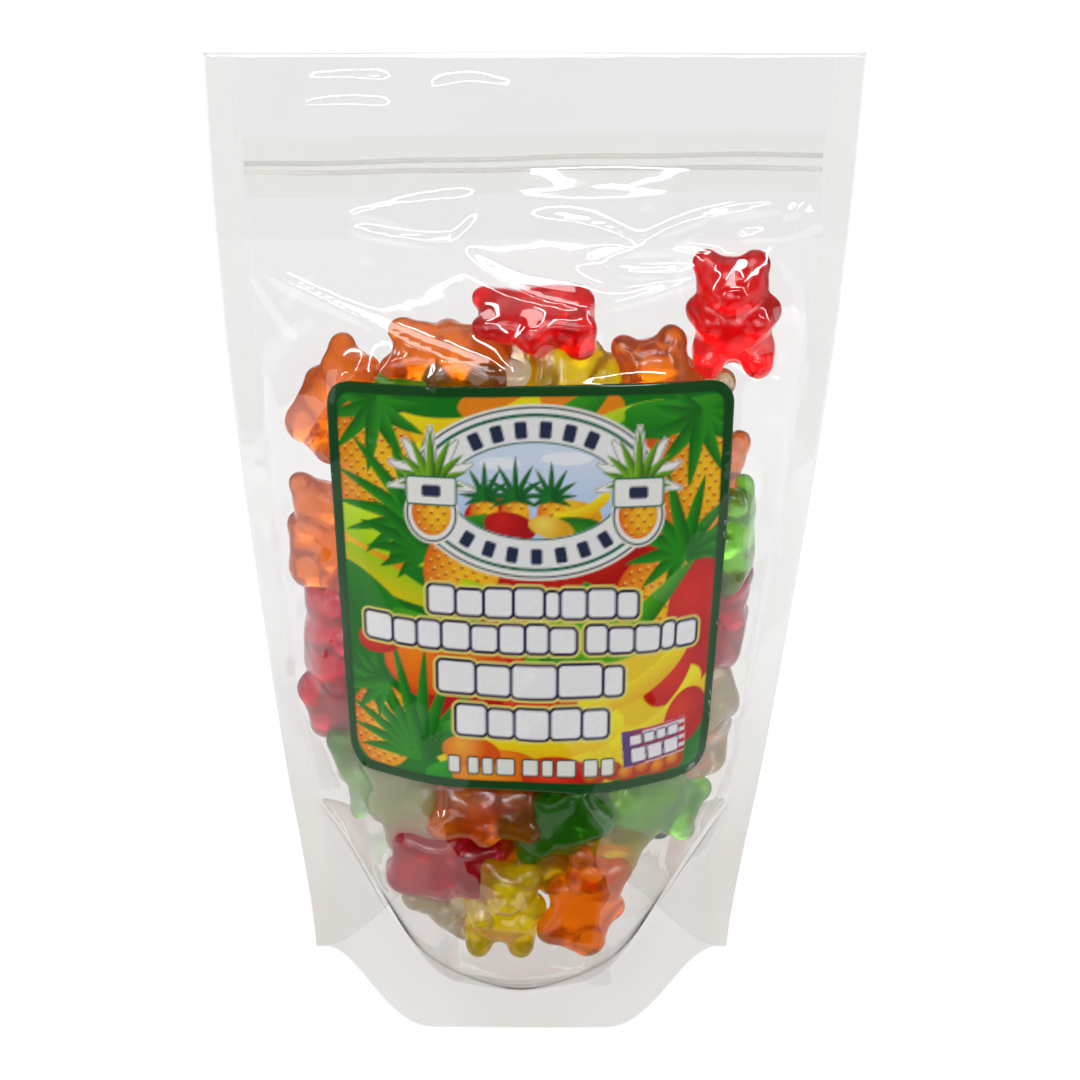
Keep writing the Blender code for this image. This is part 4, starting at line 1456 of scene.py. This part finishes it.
def loop_of(rows, columns, start=0):
    """The numbers of a grid's border points, in order round it."""
    at = lambda r, c: start + r * columns + c
    return (
        [at(0, c) for c in range(columns - 1)]
        + [at(r, columns - 1) for r in range(rows - 1)]
        + [at(rows - 1, c) for c in range(columns - 1, 0, -1)]
        + [at(r, 0) for r in range(rows - 1, 0, -1)]
    )


def build_label(settings, panel):
    """The label: a fine printed face, and a coarse back joined to it round the edge."""
    tall = (LABEL_TOP - LABEL_BOTTOM) / MM
    rise = (1 - np.cos(np.linspace(0, math.pi, LABEL_ROWS + 1))) / 2
    even = np.linspace(0, 1, LABEL_ROWS + 1)
    y = tall * (0.12 * rise + 0.88 * even)
    sides = []
    for step, lift in ((1, settings.paper_thickness + 0.06 * MM), (8, 0.06 * MM)):
        rows = y[::step]
        if rows[-1] != y[-1]:
            rows = np.append(rows, y[-1])
        across = np.linspace(-1, 1, LABEL_COLUMNS // step + 1)
        s = label_half_width(rows)[:, None] * across[None, :]
        z = np.repeat(rows[:, None], len(across), axis=1)
        if step > 1:
            s, z = s * 0.97, tall / 2 + (z - tall / 2) * 0.97
        down = 1 - z / tall
        shift = LABEL_HEAD_SHIFT + (LABEL_FOOT_SHIFT - LABEL_HEAD_SHIFT) * down
        drop = LABEL_FOOT_DROP * down * s / LABEL_HALF_WIDTH
        at, normal = sample_sheet(panel, (s + shift) * MM, LABEL_BOTTOM + (z - drop - LABEL_LOWERED) * MM)
        sides.append((at + normal * lift, s, z))
    (front, s, z), (back, _, _) = sides
    rows, columns = front.shape[:2]
    back_rows, back_columns = back.shape[:2]
    count = rows * columns
    faces = grid_faces(rows, columns)
    faces += [face[::-1] for face in grid_faces(back_rows, back_columns, count)]
    rim = loop_of(rows, columns)
    faces += [face[::-1] for face in bridge(rim, loop_of(back_rows, back_columns, count))]
    mesh = mesh_from("label_print", np.concatenate([front.reshape(-1, 3), back.reshape(-1, 3)]), faces)
    ink = np.ones((len(mesh.vertices), 4), np.float32)
    ink[:, :3] = linear("#E9E7E0")
    ink[:count, :3] = paint_label(s.ravel(), z.ravel(), settings)
    attribute = mesh.attributes.new("ink", "FLOAT_COLOR", "POINT")
    attribute.data.foreach_set("color", ink.ravel())
    mesh.materials.append(label_material())
    piece = new_object("label_print", mesh)
    fit_piece(piece, "label")


# Stage


def soft_box(name, centre, target, width, height, strength, colour=(1, 1, 1)):
    """A studio soft box. Strength 1 is as bright as white paper in full light."""
    lamp = bpy.data.lights.new(name, "AREA")
    lamp.shape = "RECTANGLE"
    lamp.size, lamp.size_y = width, height
    lamp.energy = strength * math.pi * width * height
    lamp.color = colour
    box = bpy.data.objects.new(name, lamp)
    bpy.context.scene.collection.objects.link(box)
    box.location = centre
    box.rotation_euler = (Vector(target) - Vector(centre)).to_track_quat("-Z", "Y").to_euler()
    box.visible_camera = False
    return box


def paper_sweep_material():
    """Matt white paper: pure white to the eye and in glass, and it still takes the soft shadow."""
    material, tree, out = new_material("matt_white_paper")
    rays = add_node(tree, "ShaderNodeLightPath")
    seen = add_node(tree, "ShaderNodeMath", {
        0: rays.outputs["Is Camera Ray"], 1: rays.outputs["Is Transmission Ray"],
    }, operation="MAXIMUM")
    shown = add_node(tree, "ShaderNodeMath", {
        0: seen.outputs[0], 1: rays.outputs["Is Glossy Ray"],
    }, operation="MAXIMUM")
    glow = add_node(tree, "ShaderNodeEmission", {"Color": (1, 1, 1, 1), "Strength": 1.13})
    grain = add_node(tree, "ShaderNodeTexNoise", {"Scale": 900.0})
    tint = add_node(tree, "ShaderNodeMapRange", {
        "Value": grain.outputs["Fac"], "To Min": 0.90, "To Max": 0.92,
    })
    paper = add_node(tree, "ShaderNodeBsdfDiffuse", {"Color": tint.outputs["Result"]})
    lifted = add_node(tree, "ShaderNodeMath", {0: shown.outputs[0], 1: 0.78}, operation="MULTIPLY")
    whole = add_node(tree, "ShaderNodeMixShader", {
        0: lifted.outputs[0], 1: paper.outputs[0], 2: glow.outputs[0],
    })
    tree.links.new(whole.outputs[0], out.inputs["Surface"])
    return material


def build_stage(settings):
    scene = bpy.context.scene
    scene.view_settings.view_transform = "Standard"
    # The floor, a flat sheet of white paper
    mesh = mesh_from("paper_sweep", [(-0.5, -0.30, 0), (0.5, -0.30, 0), (0.5, 0.6, 0), (-0.5, 0.6, 0)],
                     [(0, 1, 2, 3)])
    mesh.materials.append(paper_sweep_material())
    floor = new_object("paper_sweep", mesh)
    # A black flag in front keeps the pouch's front face free of white reflections
    corners = [(-0.016, -0.045, 0.0005), (0.024, -0.045, 0.0005), (0.045, -0.20, 0.0005),
               (-0.040, -0.20, 0.0005), (-0.085, -0.22, 0.16), (0.085, -0.22, 0.16)]
    mesh = mesh_from("black_flag", corners, [(0, 1, 2, 3), (3, 2, 5, 4)])
    material, tree, out = new_material("black_felt")
    felt = add_node(tree, "ShaderNodeBsdfDiffuse", {"Color": (*linear("#1A1A1A"), 1)})
    tree.links.new(felt.outputs[0], out.inputs["Surface"])
    mesh.materials.append(material)
    flag = new_object("black_flag", mesh)
    flag.visible_camera = False
    flag.visible_diffuse = False
    flag.visible_transmission = False
    flag.visible_shadow = False
    # The room: white to the eye, plain grey light on the object
    world = bpy.data.worlds.new("studio")
    scene.world = world
    world.use_nodes = True
    tree = world.node_tree
    tree.nodes.clear()
    rays = add_node(tree, "ShaderNodeLightPath")
    # To the eye it is plain white, in gloss it is dim, and light through the sweets is bright
    seen = add_node(tree, "ShaderNodeMath", {
        0: rays.outputs["Is Camera Ray"], 1: 1 - settings.room_light, 2: settings.room_light,
    }, operation="MULTIPLY_ADD")
    dim = add_node(tree, "ShaderNodeMath", {
        0: rays.outputs["Is Glossy Ray"], 1: 0.1 - settings.room_light, 2: seen.outputs[0],
    }, operation="MULTIPLY_ADD")
    level = add_node(tree, "ShaderNodeMath", {
        0: rays.outputs["Is Transmission Ray"], 1: 2.0, 2: dim.outputs[0],
    }, operation="MULTIPLY_ADD")
    sky = add_node(tree, "ShaderNodeBackground", {"Color": (1, 1, 1, 1), "Strength": level.outputs[0]})
    out = tree.nodes.new("ShaderNodeOutputWorld")
    tree.links.new(sky.outputs[0], out.inputs["Surface"])
    middle = (0, 0, 0.09)
    soft_box("key", (-0.12, -0.52, 0.62), middle, 0.42, 0.22, settings.key_light)
    soft_box("top", (0.05, 0.10, 0.75), middle, 0.6, 0.4, 1.0)
    soft_box("left_card", (-0.60, -0.10, 0.16), middle, 0.44, 0.5, settings.side_light)
    soft_box("right_card", (0.60, -0.06, 0.16), middle, 0.40, 0.5, settings.side_light)
    for name, turn, lift, reach, wide, tall, bright in (
        ("strip_low", -4, 15, 0.50, 0.36, 0.014, 30.0),
        ("strip_high", 6, 33, 0.50, 0.34, 0.018, 26.0),
        ("strip_left", -44, 20, 0.50, 0.016, 0.20, 26.0),
        ("strip_right", 40, 22, 0.50, 0.016, 0.20, 26.0),
    ):
        turn, lift = math.radians(turn), math.radians(lift)
        centre = (reach * math.sin(turn) * math.cos(lift), -reach * math.cos(turn) * math.cos(lift),
                  0.12 + reach * math.sin(lift))
        strip = soft_box(name, centre, (0, 0, 0.12), wide, tall, bright)
        strip.visible_diffuse = False
    soft_box("back_light", (0.0, 0.65, 0.30), middle, 0.7, 0.4, 1.2)
    # The camera looks down on the pouch from the front
    camera_data = bpy.data.cameras.new("camera")
    camera_data.lens = settings.lens
    camera_data.sensor_width = 36
    camera = bpy.data.objects.new("camera", camera_data)
    scene.collection.objects.link(camera)
    tilt = settings.camera_tilt
    target = Vector((2.6 * MM, 0, 102.7 * MM))
    back = Vector((0, -math.cos(tilt), math.sin(tilt)))
    camera.location = target + back * settings.camera_distance
    camera.rotation_euler = (-back).to_track_quat("-Z", "Y").to_euler()
    camera_data.clip_start = 0.01
    scene.camera = camera
    scene.cycles.max_bounces = 9
    scene.cycles.diffuse_bounces = 2
    scene.cycles.glossy_bounces = 3
    scene.cycles.transmission_bounces = 8
    scene.cycles.transparent_max_bounces = 32


# The add-on's settings, operators and panel


class PouchSettings(bpy.types.PropertyGroup):
    film_thickness: bpy.props.FloatProperty(
        name="Film thickness", description="Thickness of the laminate film",
        default=0.12 * MM, unit="LENGTH",
    )
    film_sag: bpy.props.FloatProperty(
        name="Film sag", description="How far the film is drawn in between the sweets",
        default=1.3 * MM, unit="LENGTH",
    )
    crease_height: bpy.props.FloatProperty(
        name="Creases", description="How strongly the film is creased, 1 for the listed heights", default=1.3,
    )
    film_tint: bpy.props.FloatVectorProperty(
        name="Film tint", description="What one face of the film lets through", subtype="COLOR",
        default=(0.986, 0.986, 0.986),
    )
    # Painted shade: the darker tint the film takes towards the foot and sides, and on the gusset.
    shaded_skirt_tint: bpy.props.FloatVectorProperty(
        name="Skirt tint", description="What one face lets through at the foot of the pouch", subtype="COLOR",
        default=(0.925, 0.91, 0.895),
    )


class BearSettings(bpy.types.PropertyGroup):
    height: bpy.props.FloatProperty(
        name="Bear height", description="Height of one gummy bear", default=24.8 * MM, unit="LENGTH",
    )
    count: bpy.props.IntProperty(name="Bears", description="How many bears fill the pouch", default=80)
    seed: bpy.props.IntProperty(name="Seed", description="Chooses how the bears fall", default=11)


class LabelSettings(bpy.types.PropertyGroup):
    paper_thickness: bpy.props.FloatProperty(
        name="Paper thickness", description="Thickness of the label", default=0.12 * MM, unit="LENGTH",
    )
    border_width: bpy.props.FloatProperty(
        name="Border width", description="Width of the label's dark border", default=2.2 * MM, unit="LENGTH",
    )
    border: bpy.props.FloatVectorProperty(
        name="Border colour", description="Ink of the label's border", subtype="COLOR",
        default=linear("#0A4A16"),
    )


class StageSettings(bpy.types.PropertyGroup):
    lens: bpy.props.FloatProperty(name="Lens", description="Focal length in millimetres", default=58.6)
    camera_distance: bpy.props.FloatProperty(
        name="Camera distance", description="From the camera to the pouch", default=359.3 * MM, unit="LENGTH",
    )
    camera_tilt: bpy.props.FloatProperty(
        name="Camera tilt", description="How far the camera looks down",
        default=math.radians(25.15), subtype="ANGLE",
    )
    room_light: bpy.props.FloatProperty(name="Room light", description="Light from all round", default=0.26)
    key_light: bpy.props.FloatProperty(name="Key light", description="Soft box above the camera", default=5.8)
    side_light: bpy.props.FloatProperty(
        name="Side cards", description="White cards at both sides", default=1.35,
    )


shared = {}


class POUCH_OT_bears(bpy.types.Operator):
    """Fill the pouch with gummy bears"""

    bl_idname = "pouch.bears"
    bl_label = "Gummy bears"

    def execute(self, context):
        shared["surface"] = build_bears(context.scene.pouch_bears)
        return {"FINISHED"}


class POUCH_OT_film(bpy.types.Operator):
    """Wrap the bears in clear film"""

    bl_idname = "pouch.film"
    bl_label = "Film"

    def execute(self, context):
        if "surface" not in shared:
            raise RuntimeError("fill the pouch before the film is made")
        shared["panels"] = build_film(context.scene.pouch_film, shared["surface"])
        return {"FINISHED"}


class POUCH_OT_zip(bpy.types.Operator):
    """Add the press-to-close zip"""

    bl_idname = "pouch.zip"
    bl_label = "Zip"

    def execute(self, context):
        build_zip()
        return {"FINISHED"}


class POUCH_OT_label(bpy.types.Operator):
    """Stick the printed label on the front"""

    bl_idname = "pouch.label"
    bl_label = "Label"

    def execute(self, context):
        if "panels" not in shared:
            raise RuntimeError("make the film before the label")
        build_label(context.scene.pouch_label, shared["panels"][-1])
        return {"FINISHED"}


class POUCH_OT_stage(bpy.types.Operator):
    """Set up the floor, the lights and the camera"""

    bl_idname = "pouch.stage"
    bl_label = "Stage"

    def execute(self, context):
        build_stage(context.scene.pouch_stage)
        return {"FINISHED"}


class POUCH_PT_panel(bpy.types.Panel):
    """Lists the pouch's steps and settings"""

    bl_label = "Gummy Bear Pouch"
    bl_idname = "POUCH_PT_panel"
    bl_space_type = "VIEW_3D"
    bl_region_type = "UI"
    bl_category = "Pouch"

    def draw(self, context):
        for operator, group in STEPS:
            self.layout.operator(operator.bl_idname)
            if group:
                settings = getattr(context.scene, group)
                for name in settings.__annotations__:
                    self.layout.prop(settings, name)


STEPS = (
    (POUCH_OT_bears, "pouch_bears"),
    (POUCH_OT_film, "pouch_film"),
    (POUCH_OT_zip, None),
    (POUCH_OT_label, "pouch_label"),
    (POUCH_OT_stage, "pouch_stage"),
)
GROUPS = {
    "pouch_film": PouchSettings,
    "pouch_bears": BearSettings,
    "pouch_label": LabelSettings,
    "pouch_stage": StageSettings,
}
CLASSES = (*GROUPS.values(), *(operator for operator, _ in STEPS), POUCH_PT_panel)


def register():
    for made in CLASSES:
        bpy.utils.register_class(made)
    for name, group in GROUPS.items():
        setattr(bpy.types.Scene, name, bpy.props.PointerProperty(type=group))


def unregister():
    for name in GROUPS:
        delattr(bpy.types.Scene, name)
    for made in reversed(CLASSES):
        bpy.utils.unregister_class(made)


def clear_startup():
    """Removes the startup file's cube, camera and light."""
    for obj in list(bpy.data.objects):
        if obj.name in ("Cube", "Camera", "Light"):
            bpy.data.objects.remove(obj)


def main():
    register()
    clear_startup()
    bpy.ops.pouch.bears()
    bpy.ops.pouch.film()
    bpy.ops.pouch.zip()
    bpy.ops.pouch.label()
    bpy.ops.pouch.stage()


if __name__ == "__main__":
    main()
